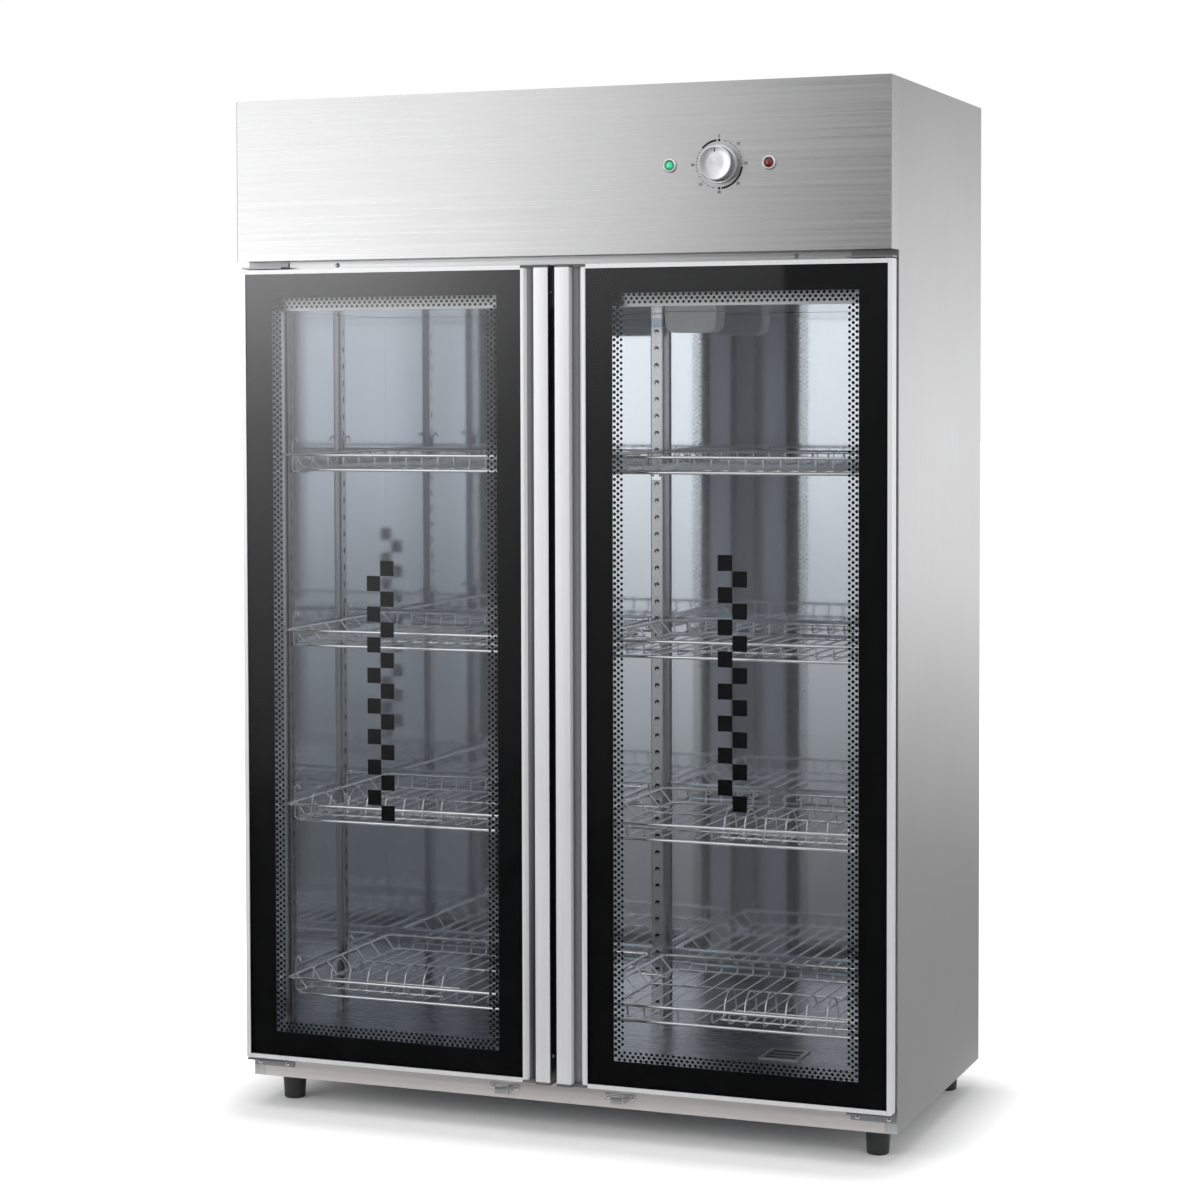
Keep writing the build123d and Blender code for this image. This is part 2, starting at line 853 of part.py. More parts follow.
# Plastic bushes in the ends of the hollow hinge stile turn on the pins.
with BuildPart() as hinge_bushes:
    chamber = (stile_inner + frame_wall, door_outer - frame_wall)
    chamber_depth = (rebate_back + frame_wall, door_back - frame_wall)
    for low, mouth in ((frame_low, frame_low), (door_top - bush_height, door_top)):
        bar(chamber, chamber_depth, (low, low + bush_height))
        inside = bush_height - bush_end if mouth == low else -(bush_height - bush_end)
        with BuildSketch(Plane.XY.offset(mouth)):
            with Locations((pivot_x, pivot_y)):
                Circle(pin_radius + pin_clearance)
        extrude(amount=inside, mode=Mode.SUBTRACT)
save_pair(hinge_bushes.part, "hinge_bushes")


# ---------------------------------------------------------------- hinge brackets
def bracket_leg_end(door_edge, outward):
    """Height at which a hinge bracket's turned leg ends."""
    return door_edge + outward * (bracket_air + (top_leg if outward > 0 else bottom_leg))


bracket_x = (door_outer - bracket_length, door_outer)
with BuildPart() as hinge_brackets:
    for door_edge, outward in ((door_top, 1), (door_bottom, -1)):
        # a leaf past the door's end, its turned leg on the body and its pin
        near = door_edge + outward * bracket_air
        far = near + outward * bracket_thickness
        leg_end = bracket_leg_end(door_edge, outward)
        bar(bracket_x, (door_front + bracket_setback, body_front), sorted((near, far)))
        bar(bracket_x, (body_front - bracket_thickness, body_front), sorted((near, leg_end)))
        with BuildSketch(Plane.XY.offset(near)):
            with Locations((pivot_x, pivot_y)):
                Circle(pin_radius)
        extrude(amount=-outward * (bracket_air + pin_reach))
    mirror(about=Plane.YZ)
save(hinge_brackets.part, "hinge_brackets")

# ---------------------------------------------------------------- catches and screws
with BuildPart() as door_catches:
    flange_width, flange_sheet, flange_height = catch_flange
    block_width, block_depth, block_height = catch_block
    catch_top = door_bottom - catch_drop
    flange_front = body_front - flange_sheet
    for x in (-catch_x, catch_x):
        bar(
            (x - flange_width / 2, x + flange_width / 2),
            (flange_front, body_front),
            (catch_top - flange_height, catch_top),
        )
        bar(
            (x - block_width / 2, x + block_width / 2),
            (body_front - block_depth, flange_front),
            (catch_top - block_height, catch_top),
        )
save(door_catches.part, "door_catches")

with BuildPart() as body_screws:
    catch_middle = catch_top - flange_height / 2
    hold = flange_width / 2 - catch_screw_inset
    rail_screw_x = half_width - rail_screw_inset
    for side in (-1, 1):
        catch_screws = [(side * catch_x + along, catch_middle) for along in (-hold, hold)]
        screw_heads(catch_screws, flange_front)
        screw_heads([(side * rail_screw_x, header_bottom - door_gap_top / 2)], body_front)
        leg_middle = (bracket_leg_end(door_bottom, -1) + door_bottom - bracket_air - bracket_thickness) / 2
        leg_screws = [
            (side * (door_outer - along), leg_middle)
            for along in (bracket_screw_inset, bracket_length - bracket_screw_inset)
        ]
        screw_heads(leg_screws, body_front - bracket_thickness)
save(body_screws.part, "body_screws")

# ---------------------------------------------------------------- controls
def fluted_outline():
    """The knob's grip: ridges and hollows in turn round its axis."""
    points = []
    for n in range(2 * flute_count):
        turn = radians(180.0 * n / flute_count)
        reach = knob_radius - flute_depth * (n % 2)
        points.append((dial_x + reach * cos(turn), dial_z + reach * sin(turn)))
    return points


with BuildPart() as timer_knob:
    skirt_back = header_front - knob_air
    knob_face = header_front - knob_projection
    with BuildSketch(Plane.XZ.offset(-skirt_back)):
        with Locations((dial_x, dial_z)):
            RegularPolygon(knob_skirt_radius, 2 * round_sides)
    extrude(amount=knob_skirt)
    with BuildSketch(Plane.XZ.offset(-(skirt_back - knob_skirt))):
        with BuildLine():
            Polyline(*fluted_outline(), close=True)
        make_face()
    extrude(amount=skirt_back - knob_skirt - knob_face)
    with BuildSketch(Plane.XZ.offset(-skirt_back)):
        with Locations((dial_x, dial_z)):
            Circle(shaft_radius)
    extrude(amount=-(sheet + knob_air + shaft_reach))
save(timer_knob.part, "timer_knob")

with BuildPart() as timer_unit:
    timer_front = header_front + sheet + skin_gap
    bar(
        (dial_x - timer_half, dial_x + timer_half),
        (timer_front, body_front - skin_gap),
        (dial_z - timer_half, dial_z + timer_half),
    )
    with BuildSketch(Plane.XZ.offset(-timer_front)):
        with Locations((dial_x, dial_z)):
            Circle(shaft_radius + pin_clearance)
    extrude(amount=-timer_bore, mode=Mode.SUBTRACT)
save(timer_unit.part, "timer_unit")

lamp_places = {"drying": dial_x - lamp_spacing, "sterilizing": dial_x + lamp_spacing}
with BuildPart() as lamp_bezels:
    with BuildSketch(Plane.XZ.offset(-header_front)):
        with Locations([(x, dial_z) for x in lamp_places.values()]):
            RegularPolygon(bezel_radius, round_sides)
            RegularPolygon(lens_radius + skin_gap, round_sides, mode=Mode.SUBTRACT)
    extrude(amount=bezel_projection)
save(lamp_bezels.part, "lamp_bezels")

for use, x in lamp_places.items():
    with BuildPart() as lamp:
        with BuildSketch(Plane.XZ.offset(-(header_front + lamp_depth))):
            with Locations((x, dial_z)):
                RegularPolygon(lens_radius, round_sides)
        extrude(amount=lamp_depth + bezel_projection + lens_rise)
    save(lamp.part, f"{use}_lamp")

# ---------------------------------------------------------------- lamp and air
holder_length, holder_depth, holder_height = lamp_holder
tube_y = cavity_back - tube_forward
tube_z = cavity_ceiling - holder_height / 2
tube_end = tube_length / 2
with BuildPart() as uv_tube:
    with BuildSketch(Plane.YZ.offset(-tube_end)):
        with Locations((tube_y, tube_z)):
            Circle(tube_radius)
    extrude(amount=tube_length)
save(uv_tube.part, "uv_tube")

with BuildPart() as uv_holders:
    for inner, outer in ((-tube_end - holder_length, -tube_end), (tube_end, tube_end + holder_length)):
        bar(
            (inner, outer),
            (tube_y - holder_depth / 2, tube_y + holder_depth / 2),
            (cavity_ceiling - holder_height, cavity_ceiling),
        )
    lower_ends = uv_holders.edges().filter_by(Axis.Y).group_by(Axis.Z)[0]
    fillet(lower_ends, radius=lamp_holder_corner)
save(uv_holders.part, "uv_lamp_holders")

fan_low = foot_height + sheet
with BuildPart() as fan_housing:
    with BuildSketch(Plane.XY.offset(fan_low)):
        with Locations((vent_x, vent_y)):
            Rectangle(fan_frame, fan_frame)
            RegularPolygon(fan_radius + fan_tip_air, round_sides, mode=Mode.SUBTRACT)
    extrude(amount=fan_height)
    bar(
        (vent_x - fan_frame / 2, vent_x + fan_frame / 2),
        (vent_y - fan_bar, vent_y + fan_bar),
        (fan_low, fan_low + fan_bar_thickness),
    )
save(fan_housing.part, "fan_housing")

with BuildPart() as fan_impeller:
    hub_low = fan_low + fan_bar_thickness + fan_air
    with BuildSketch(Plane.XY.offset(hub_low)):
        with Locations((vent_x, vent_y)):
            RegularPolygon(hub_radius, round_sides)
    extrude(amount=hub_height)
    with Locations((vent_x, vent_y, hub_low + hub_height / 2)):
        with PolarLocations(blade_middle, blade_count):
            Box(*blade_size, rotation=(blade_pitch, 0, 0))
save(fan_impeller.part, "fan_impeller")

with BuildPart() as heater:
    heater_low = fan_low + fan_height
    bar(
        (vent_x - fan_frame / 2, vent_x + fan_frame / 2),
        (vent_y - heater_half_depth, vent_y + heater_half_depth),
        (heater_low, liner_low - skin_gap - sheet - skin_gap),
    )
save(heater.part, "air_heater")

with BuildPart() as ballast:
    ballast_low = liner_high + skin_gap + sheet
    ballast_y = body_front + ballast_front
    bar(
        ballast_x,
        (ballast_y, ballast_y + ballast_size[0]),
        (ballast_low, ballast_low + ballast_size[1]),
    )
save(ballast.part, "lamp_ballast")

# ---------------------------------------------------------------- feet and inlet
with BuildPart() as feet:
    foot_ys = (body_front + foot_front_inset, cabinet_back - foot_back_inset)
    for x in (-half_width + foot_inset_x, half_width - foot_inset_x):
        for y in foot_ys:
            with BuildSketch(Plane.XY):
                with Locations((x, y)):
                    RegularPolygon(foot_bottom_radius, foot_sides)
            with BuildSketch(Plane.XY.offset(foot_height)):
                with Locations((x, y)):
                    RegularPolygon(foot_top_radius, foot_sides)
            loft(ruled=True)
save(feet.part, "feet")

with BuildPart() as cable_gland:
    with BuildSketch(Plane.XZ.offset(-(back_panel_face + gland_projection))):
        with Locations((half_width - gland_inset, foot_height + gland_height)):
            RegularPolygon(gland_radius, gland_flats)
            RegularPolygon(cord_hole_radius, cord_hole_sides, mode=Mode.SUBTRACT)
    extrude(amount=gland_projection)
save(cable_gland.part, "cable_gland")
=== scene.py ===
import bpy
from math import cos, pi, radians, sin, tan
from mathutils import Matrix, Vector


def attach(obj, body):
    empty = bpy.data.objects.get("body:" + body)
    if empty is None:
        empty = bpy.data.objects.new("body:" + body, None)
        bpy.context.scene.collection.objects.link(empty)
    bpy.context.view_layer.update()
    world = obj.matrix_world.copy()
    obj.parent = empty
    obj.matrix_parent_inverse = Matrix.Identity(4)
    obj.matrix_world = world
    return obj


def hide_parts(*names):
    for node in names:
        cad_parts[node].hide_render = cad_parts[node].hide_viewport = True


# Looks of the two-door dish sterilizer cabinet.  Shapes are written in
# millimetres in the CAD frame and scaled to metres as they become meshes.

MM = 0.001
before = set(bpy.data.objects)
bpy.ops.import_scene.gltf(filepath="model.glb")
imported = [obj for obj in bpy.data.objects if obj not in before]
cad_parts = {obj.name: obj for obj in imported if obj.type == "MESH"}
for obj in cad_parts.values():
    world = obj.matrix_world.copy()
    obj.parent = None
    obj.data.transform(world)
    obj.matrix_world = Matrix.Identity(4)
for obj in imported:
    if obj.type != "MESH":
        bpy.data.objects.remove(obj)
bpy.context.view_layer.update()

# ------------------------------------------------------------ sizes of the CAD
HEADER_FRONT = -297.5
BODY_FRONT = -251.5
DOOR_FRONT = -285.5
DOOR_BACK = -259.5
STRIP_FRONT = -292.5
DOOR_LOW = 89.0
DOOR_HIGH = 1502.0
GLASS_BACK = -279.8
GLASS_X = (56.0, 596.3)
GLASS_Z = (90.7, 1500.3)
CAVITY_HALF = 575.0
CAVITY_BACK = 260.5
CAVITY_LOW = 105.0
CAVITY_HIGH = 1430.0
TIERS = (190.0, 507.5, 825.0, 1142.5)
RACK_X = (12.0, 562.0)
RACK_Y = (-203.5, 232.5)
RACK_HEIGHT = 32.0
RACK_TAPER = 20.0
SLOT_PITCH = 31.75
PILASTER_Y = (-157.5, 59.5)
PILASTER_FACE = 567.0
CHANNEL_FACE = 235.5
CATCH_X = 108.0
DIAL = (304.5, 1662.5)
LAMP_X = {"drying_lamp": 217.5, "sterilizing_lamp": 391.5}
LENS_RADIUS = 7.7


# ------------------------------------------------------------ mesh helpers
class Shape:
    """Points in millimetres and faces, gathered for one piece."""

    def __init__(self):
        self.points = []
        self.faces = []
        self.marks = []

    def add(self, points, faces, mark=0):
        base = len(self.points)
        self.points += [tuple(p) for p in points]
        self.faces += [tuple(base + i for i in face) for face in faces]
        self.marks += [mark] * len(faces)

    def mirrored(self):
        """The same shape on the other side of the cabinet's middle plane."""
        other = Shape()
        other.points = [(-x, y, z) for x, y, z in self.points]
        other.faces = [tuple(reversed(face)) for face in self.faces]
        other.marks = list(self.marks)
        return other

    def piece(self, name, materials, body, slot, smooth, bevel=0.0):
        mesh = bpy.data.meshes.new(name)
        mesh.from_pydata([[c * MM for c in p] for p in self.points], [], self.faces)
        for material in materials:
            mesh.materials.append(material)
        mesh.polygons.foreach_set("material_index", self.marks)
        mesh.polygons.foreach_set("use_smooth", [smooth > 0] * len(self.faces))
        mesh.validate()
        mesh.update()
        if smooth > 0:
            mesh.set_sharp_from_angle(angle=radians(smooth))
        made = bpy.data.objects.new(name, mesh)
        bpy.context.scene.collection.objects.link(made)
        if bevel > 0:
            soft = made.modifiers.new("edges", "BEVEL")
            soft.width = bevel * MM
            soft.segments = 2
            soft.limit_method = "ANGLE"
            soft.angle_limit = radians(40)
        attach(made, body)
        return made


def both_sides(right):
    """A right-hand shape and its mirror image, each with its side's name."""
    return ("right", right), ("left", right.mirrored())


def lofted(shape, rings, closed=False, capped=True, flip=False, mark=0):
    """Faces from each ring of points to the next, with ends unless it is closed."""
    count, sides = len(rings), len(rings[0])
    faces = []
    for i in range(count if closed else count - 1):
        j = (i + 1) % count
        for k in range(sides):
            m = (k + 1) % sides
            faces.append((i * sides + k, i * sides + m, j * sides + m, j * sides + k))
    if capped and not closed:
        faces.append(tuple(reversed(range(sides))))
        faces.append(tuple((count - 1) * sides + k for k in range(sides)))
    if flip:
        faces = [tuple(reversed(face)) for face in faces]
    shape.add([p for ring in rings for p in ring], faces, mark)


def box(shape, x, y, z):
    points = [(a, b, c) for a in x for b in y for c in z]
    faces = [(0, 1, 3, 2), (4, 6, 7, 5), (0, 4, 5, 1), (2, 3, 7, 6), (0, 2, 6, 4), (1, 5, 7, 3)]
    shape.add(points, faces)


def corner_curve(start, corner, end, steps):
    """Points of a curve from start to end that a corner pulls outwards."""
    parts = [k / steps for k in range(steps + 1)]
    return [(1 - t) ** 2 * start + 2 * t * (1 - t) * corner + t * t * end for t in parts]


def rounded(points, radius, closed=False, steps=4):
    """A line of points with each corner turned into a short curve."""
    points = [Vector(p) for p in points]
    count = len(points)
    line = []
    for i, corner in enumerate(points):
        if not closed and i in (0, count - 1):
            line.append(corner)
            continue
        before = points[i - 1] - corner
        after = points[(i + 1) % count] - corner
        angle = before.angle(after)
        if angle > pi - 0.02:
            line.append(corner)
            continue
        cut = min(radius / tan(angle / 2), before.length * 0.48, after.length * 0.48)
        start = corner + before.normalized() * cut
        end = corner + after.normalized() * cut
        line += corner_curve(start, corner, end, steps)
    return line


def wire(shape, points, radius, sides=8, closed=False):
    """A round wire along a line of points, with flat ends or as a closed loop."""
    points = [Vector(p) for p in points]
    count = len(points)
    turns = [2 * pi * k / sides for k in range(sides)]
    rings = []
    side = None
    for i, p in enumerate(points):
        before = points[i - 1] if closed or i else p
        after = points[(i + 1) % count] if closed or i < count - 1 else p
        along = (after - before).normalized()
        if side is None:
            other = Vector((0, 0, 1)) if abs(along.z) < 0.9 else Vector((1, 0, 0))
            side = along.cross(other)
        side = (side - along * side.dot(along)).normalized()
        across = along.cross(side)
        rings.append([p + radius * (side * cos(turn) + across * sin(turn)) for turn in turns])
    lofted(shape, rings, closed)


def turned(shape, profile, centre, axis, sides, flute=None, capped=True, mark=0):
    """A turned piece: (radius, distance) pairs round an axis through centre.

    flute is (count, depth, first ring, last ring) and ribs the rings between.
    """
    rings = []
    for row, (radius, height) in enumerate(profile):
        ring = []
        for k in range(sides):
            turn = 2 * pi * k / sides
            reach = radius
            if flute and flute[2] <= row <= flute[3]:
                reach -= flute[1] * (0.5 + 0.5 * cos(flute[0] * turn))
            a, b = reach * cos(turn), reach * sin(turn)
            step = {"X": (height, a, b), "Y": (a, height, b), "Z": (a, b, height)}[axis]
            ring.append(tuple(c + s for c, s in zip(centre, step)))
        rings.append(ring)
    lofted(shape, rings, capped=capped, flip=axis == "Y", mark=mark)


def upright(shape, outline, low, high):
    """A closed plan outline, counter-clockwise, raised between two heights."""
    lofted(shape, [[(x, y, z) for x, y in outline] for z in (low, high)])


def disc(shape, place, radius, sides=12):
    """A flat round mark at (x, y, z), looking forward."""
    x, y, z = place
    turns = [2 * pi * k / sides for k in range(sides)]
    ring = [(x + radius * cos(turn), y, z + radius * sin(turn)) for turn in turns]
    shape.add(ring, [tuple(range(sides))])


def punched(shape, place, half_width, heights, hole, thickness, low, high):
    """A strip with one column of holes.

    place(u, z, d) turns a distance across the strip, a height and a depth
    behind its face into a point; hole is a ring of (u, z) points, starting at
    its right and going up and round.
    """
    levels = [low] + [(a + b) / 2 for a, b in zip(heights, heights[1:])] + [high]
    count = len(hole)
    top, bottom = count // 4, 3 * (count // 4)
    lower_right, upper_right, upper_left, lower_left, upper_middle, lower_middle = range(count, count + 6)
    right = [lower_right, upper_right, upper_middle, *range(top, -1, -1)]
    right += [*range(count - 1, bottom - 1, -1), lower_middle]
    left = [upper_middle, upper_left, lower_left, lower_middle, *range(bottom, top - 1, -1)]
    for n, height in enumerate(heights):
        z0, z1 = levels[n], levels[n + 1]
        ring = [(u, height + z) for u, z in hole]
        corners = [(half_width, z0), (half_width, z1), (-half_width, z1), (-half_width, z0)]
        middle = [(0.0, z1), (0.0, z0)]
        for depth, flip in ((0.0, False), (thickness, True)):
            flat = [place(u, z, depth) for u, z in ring + corners + middle]
            shape.add(flat, [tuple(reversed(face)) if flip else tuple(face) for face in (right, left)])
        walls = [place(u, z, depth) for depth in (0.0, thickness) for u, z in ring]
        faces = [(i, count + i, count + (i + 1) % count, (i + 1) % count) for i in range(count)]
        shape.add(walls, faces)


def ring_of(width, height, corner, steps=3):
    """A rounded rectangle as a ring of points, from its right, going round."""
    a, b = width / 2 - corner, height / 2 - corner
    ring = []
    for n, (u, z) in enumerate(((a, b), (-a, b), (-a, -b), (a, -b))):
        for k in range(steps + 1):
            turn = pi / 2 * (n + k / steps)
            ring.append((u + corner * cos(turn), z + corner * sin(turn)))
    return ring


# ------------------------------------------------------------ material helpers
class Tree:
    """The node tree of a material or world, emptied, with short ways to add to it."""

    def __init__(self, owner):
        owner.use_nodes = True
        self.tree = owner.node_tree
        self.tree.nodes.clear()

    def link(self, a, b):
        self.tree.links.new(a, b)

    def add(self, kind, inputs=(), **settings):
        """A node with its settings; each input is linked or given a value."""
        node = self.tree.nodes.new(kind)
        for name, value in settings.items():
            setattr(node, name, value)
        for key, value in dict(inputs).items():
            if isinstance(value, bpy.types.NodeSocket):
                self.link(value, node.inputs[key])
            else:
                node.inputs[key].default_value = value
        return node

    def number(self, operation, *inputs):
        return self.add("ShaderNodeMath", enumerate(inputs), operation=operation).outputs[0]

    def vector(self, operation, *inputs):
        node = self.add("ShaderNodeVectorMath", enumerate(inputs), operation=operation)
        return node.outputs["Value" if operation == "LENGTH" else "Vector"]

    def ramp(self, source, *stops):
        """Colours or greys picked by a value: (position, colour) pairs."""
        node = self.add("ShaderNodeValToRGB", {0: source})
        marks = node.color_ramp.elements
        while len(marks) < len(stops):
            marks.new(0.5)
        for mark, (position, colour) in zip(marks, stops):
            if isinstance(colour, (int, float)):
                colour = (colour, colour, colour)
            mark.position = position
            mark.color = (*colour, 1.0)
        return node.outputs[0]

    def between(self, source, low, high, edge=0.3):
        """A ramp over the part of a noise's range where its values lie."""
        return self.ramp(source, (edge, low), (1.0 - edge, high))

    def multiplied(self, first, second):
        inputs = {0: 1.0, 6: first, 7: second}
        return self.add("ShaderNodeMix", inputs, data_type="RGBA", blend_type="MULTIPLY").outputs[2]

    def seen(self):
        """1 for the rays of the camera and of polished and clear surfaces, else 0."""
        rays = self.add("ShaderNodeLightPath").outputs
        either = self.number("MAXIMUM", rays["Is Camera Ray"], rays["Is Glossy Ray"])
        return self.number("MAXIMUM", either, rays["Is Transmission Ray"])


class Nodes(Tree):
    """One node material round a Principled shader."""

    def __init__(self, name):
        self.material = bpy.data.materials.new(name)
        super().__init__(self.material)
        self.output = self.add("ShaderNodeOutputMaterial")
        self.shader = self.add("ShaderNodeBsdfPrincipled")
        self.link(self.shader.outputs[0], self.output.inputs[0])
        self.place = self.add("ShaderNodeTexCoord").outputs["Object"]

    def set(self, **values):
        for name, value in values.items():
            self.shader.inputs[name.replace("_", " ")].default_value = value

    def noise(self, scale, detail=3.0):
        """Noise whose grain may be longer along one axis than the others."""
        if isinstance(scale, float):
            scale = (scale, scale, scale)
        stretch = self.add("ShaderNodeMapping", {"Vector": self.place, "Scale": scale})
        inputs = {"Vector": stretch.outputs[0], "Scale": 1.0, "Detail": detail, "Roughness": 0.55}
        return self.add("ShaderNodeTexNoise", inputs).outputs[0]

    def from_axis(self, centre):
        """Distance in metres from the line along Y through a point in millimetres."""
        x, _, z = centre
        flat = self.vector("MULTIPLY_ADD", self.place, (1.0, 0.0, 1.0), (-x * MM, 0.0, -z * MM))
        return self.vector("LENGTH", flat)

    def colour(self, source):
        self.link(source, self.shader.inputs["Base Color"])

    def roughness(self, source):
        self.link(source, self.shader.inputs["Roughness"])

    def bump(self, source, depth, strength):
        node = self.add("ShaderNodeBump", {"Strength": strength, "Distance": depth * MM, "Height": source})
        self.link(node.outputs[0], self.shader.inputs["Normal"])


def scaled(colour, amount):
    return tuple(min(1.0, c * amount) for c in colour)


def brushed(name, tint, along, rough=(0.24, 0.4), streak=0.1, depth=0.012, cut=(1400.0, 9.0), metal=1.0):
    """Ground sheet metal whose fine lines run along one axis.

    cut is how dense the lines are across that axis and along it.
    """
    m = Nodes(name)
    fine, broad = [cut[0]] * 3, [260.0] * 3
    fine["XYZ".index(along)] = cut[1]
    broad["XYZ".index(along)] = 2.2
    lines = m.noise(fine, 2.0)
    bands = m.noise(broad)
    cloud = m.noise(2.2, 2.0)
    colour = m.between(bands, scaled(tint, 1 - streak), scaled(tint, 1 + streak))
    colour = m.multiplied(colour, m.between(lines, 1 - streak, 1.0))
    m.colour(m.multiplied(colour, m.between(cloud, 0.94, 1.0)))
    m.roughness(m.between(bands, *rough))
    m.bump(lines, depth, 0.6)
    m.set(Metallic=metal)
    return m.material


def polished(name, tint, rough=(0.05, 0.12), wave=0.6, metal=1.0):
    """Bright sheet metal with the slow waves and fine rubbing of real sheet."""
    m = Nodes(name)
    cloud = m.noise((3.0, 3.0, 1.1), 2.0)
    rub = m.noise(420.0, 2.0)
    m.colour(m.between(cloud, scaled(tint, 0.93), tint))
    m.roughness(m.between(rub, *rough, edge=0.35))
    m.bump(cloud, wave, 0.35)
    m.set(Metallic=metal)
    return m.material


def moulded(name, dark, light, rough=(0.4, 0.55), depth=0.02, **values):
    """Plastic, rubber or print with a fine grain and slight mottling."""
    m = Nodes(name)
    cloud = m.noise(30.0)
    fine = m.noise(900.0, 2.0)
    m.colour(m.between(cloud, dark, light))
    m.roughness(m.between(fine, *rough))
    m.bump(fine, depth, 0.5)
    m.set(**values)
    return m.material


def spun(name, tint, centre):
    """Metal turned round the Y axis through centre, with its cone of light."""
    m = Nodes(name)
    inputs = {"W": m.from_axis(centre), "Scale": 2600.0, "Detail": 2.0}
    grooves = m.add("ShaderNodeTexNoise", noise_dimensions="1D", inputs=inputs).outputs[0]
    m.colour(m.between(grooves, scaled(tint, 0.93), tint))
    m.roughness(m.between(grooves, 0.26, 0.36))
    m.bump(grooves, 0.004, 0.5)
    tangent = m.add("ShaderNodeTangent", direction_type="RADIAL", axis="Y")
    m.link(tangent.outputs[0], m.shader.inputs["Tangent"])
    m.set(Metallic=0.85, Anisotropic=0.7)
    return m.material


def pane(name, tint, index):
    """Clear glass that lets light straight through and reflects by angle."""
    m = Nodes(name)
    smear = m.noise((9.0, 9.0, 5.0), 4.0)
    clear = m.add("ShaderNodeBsdfTransparent", {0: m.between(smear, tint, scaled(tint, 1.015))})
    m.colour(m.between(smear, 0.98, 1.0))
    m.roughness(m.between(smear, 0.005, 0.02))
    m.set(Metallic=1.0)
    fresnel = m.add("ShaderNodeFresnel", {"IOR": index}).outputs[0]
    front = m.number("SUBTRACT", 1.0, m.add("ShaderNodeNewGeometry").outputs["Backfacing"])
    share = m.number("MULTIPLY", fresnel, front)
    mixed = m.add("ShaderNodeMixShader", {0: share, 1: clear.outputs[0], 2: m.shader.outputs[0]})
    m.link(mixed.outputs[0], m.output.inputs[0])
    return m.material


def lens(name, deep, bright, glow, strength, x):
    """A moulded lamp lens, brightest in the middle, with faint prisms."""
    m = Nodes(name)
    prisms = m.noise(700.0, 1.0)
    cloud = m.noise(160.0, 2.0)
    m.colour(m.between(cloud, deep, bright, 0.35))
    away = m.from_axis((x, HEADER_FRONT, DIAL[1]))
    spread = m.add("ShaderNodeMapRange", {"Value": away, "From Max": LENS_RADIUS * MM})
    faded = m.ramp(spread.outputs[0], (0.1, glow), (0.62, scaled(glow, 0.6)), (0.92, scaled(glow, 0.12)))
    shine = m.multiplied(faded, m.between(cloud, 0.8, 1.0, 0.35))
    m.link(shine, m.shader.inputs["Emission Color"])
    m.roughness(m.between(prisms, 0.12, 0.25))
    m.bump(prisms, 0.3, 0.5)
    m.set(Emission_Strength=strength, Coat_Weight=0.6)
    return m.material


# ------------------------------------------------------------ materials
header_metal = brushed(
    "header_brushed", (0.60, 0.60, 0.605), "X", rough=(0.26, 0.34), streak=0.05, depth=0.004,
    cut=(700.0, 14.0),
)
panel_metal = brushed("panel_brushed", (0.59, 0.59, 0.60), "Z", rough=(0.28, 0.37), streak=0.07, depth=0.006)
rail_metal = brushed("rail_brushed", (0.66, 0.635, 0.62), "X", rough=(0.3, 0.42), streak=0.035, metal=0.8)
back_metal = brushed("back_brushed", (0.58, 0.585, 0.60), "Z", rough=(0.3, 0.44))
mirror_metal = polished("liner_polished", (0.74, 0.775, 0.83), rough=(0.035, 0.08), wave=0.8, metal=0.8)
# painted shade: the lining's floor is given darker metal than the steel has, for the shade inside
lining_bottom_shade_paint = brushed("lining_bottom_painted_shade", (0.30, 0.30, 0.32), "X", rough=(0.22, 0.32), streak=0.03)
upright_metal = polished("upright_polished", (0.62, 0.63, 0.65), rough=(0.16, 0.26), wave=0.2)
chrome = polished("chrome", (0.86, 0.865, 0.88), rough=(0.07, 0.14), wave=0.05, metal=0.82)
aluminium = brushed(
    "anodised_aluminium", (0.82, 0.82, 0.835), "Z", rough=(0.3, 0.42), streak=0.03, metal=0.4
)
screw_metal = polished("screw_bright", (0.66, 0.66, 0.67), rough=(0.15, 0.3), wave=0.05)
catch_metal = brushed("catch_satin", (0.66, 0.66, 0.67), "X", rough=(0.2, 0.3), streak=0.02, metal=0.95)
# painted shade: the hinge plates are given darker metal than the steel has, for their shade under the header
hinge_shade_paint = brushed("hinge_painted_shade", (0.36, 0.36, 0.37), "X", rough=(0.3, 0.42), streak=0.03)
# painted shade: the centre post between the doors is given dark metal for the shade it stands in
post_shade_paint = brushed("post_painted_shade", (0.20, 0.20, 0.21), "Z", rough=(0.3, 0.4), streak=0.03)
# painted shade: darker metal for the handle stiles' groove faces and the faces beside the gap
groove_shade_paint = brushed("groove_painted_shade", (0.37, 0.37, 0.38), "Z", rough=(0.28, 0.38), streak=0.03)
# painted shade: the knob's flutes are given darker metal than its face, for their shade
flute_shade_paint = brushed("knob_flute_painted_shade", (0.52, 0.52, 0.53), "Y", rough=(0.2, 0.3), streak=0.03)
dark_metal = brushed("dark_steel", (0.16, 0.16, 0.17), "X", rough=(0.35, 0.5))
knob_metal = spun("knob_turned", (0.86, 0.86, 0.88), (DIAL[0], HEADER_FRONT, DIAL[1]))
grey_plastic = moulded("grey_plastic", (0.085, 0.085, 0.09), (0.12, 0.12, 0.125))
black_plastic = moulded("black_rubber", (0.012, 0.012, 0.013), (0.022, 0.022, 0.024), (0.38, 0.6))
white_plastic = moulded("white_plastic", (0.62, 0.63, 0.64), (0.70, 0.71, 0.72), (0.3, 0.42))
gasket = moulded("gasket_rubber", (0.30, 0.30, 0.31), (0.36, 0.36, 0.37), (0.5, 0.7))
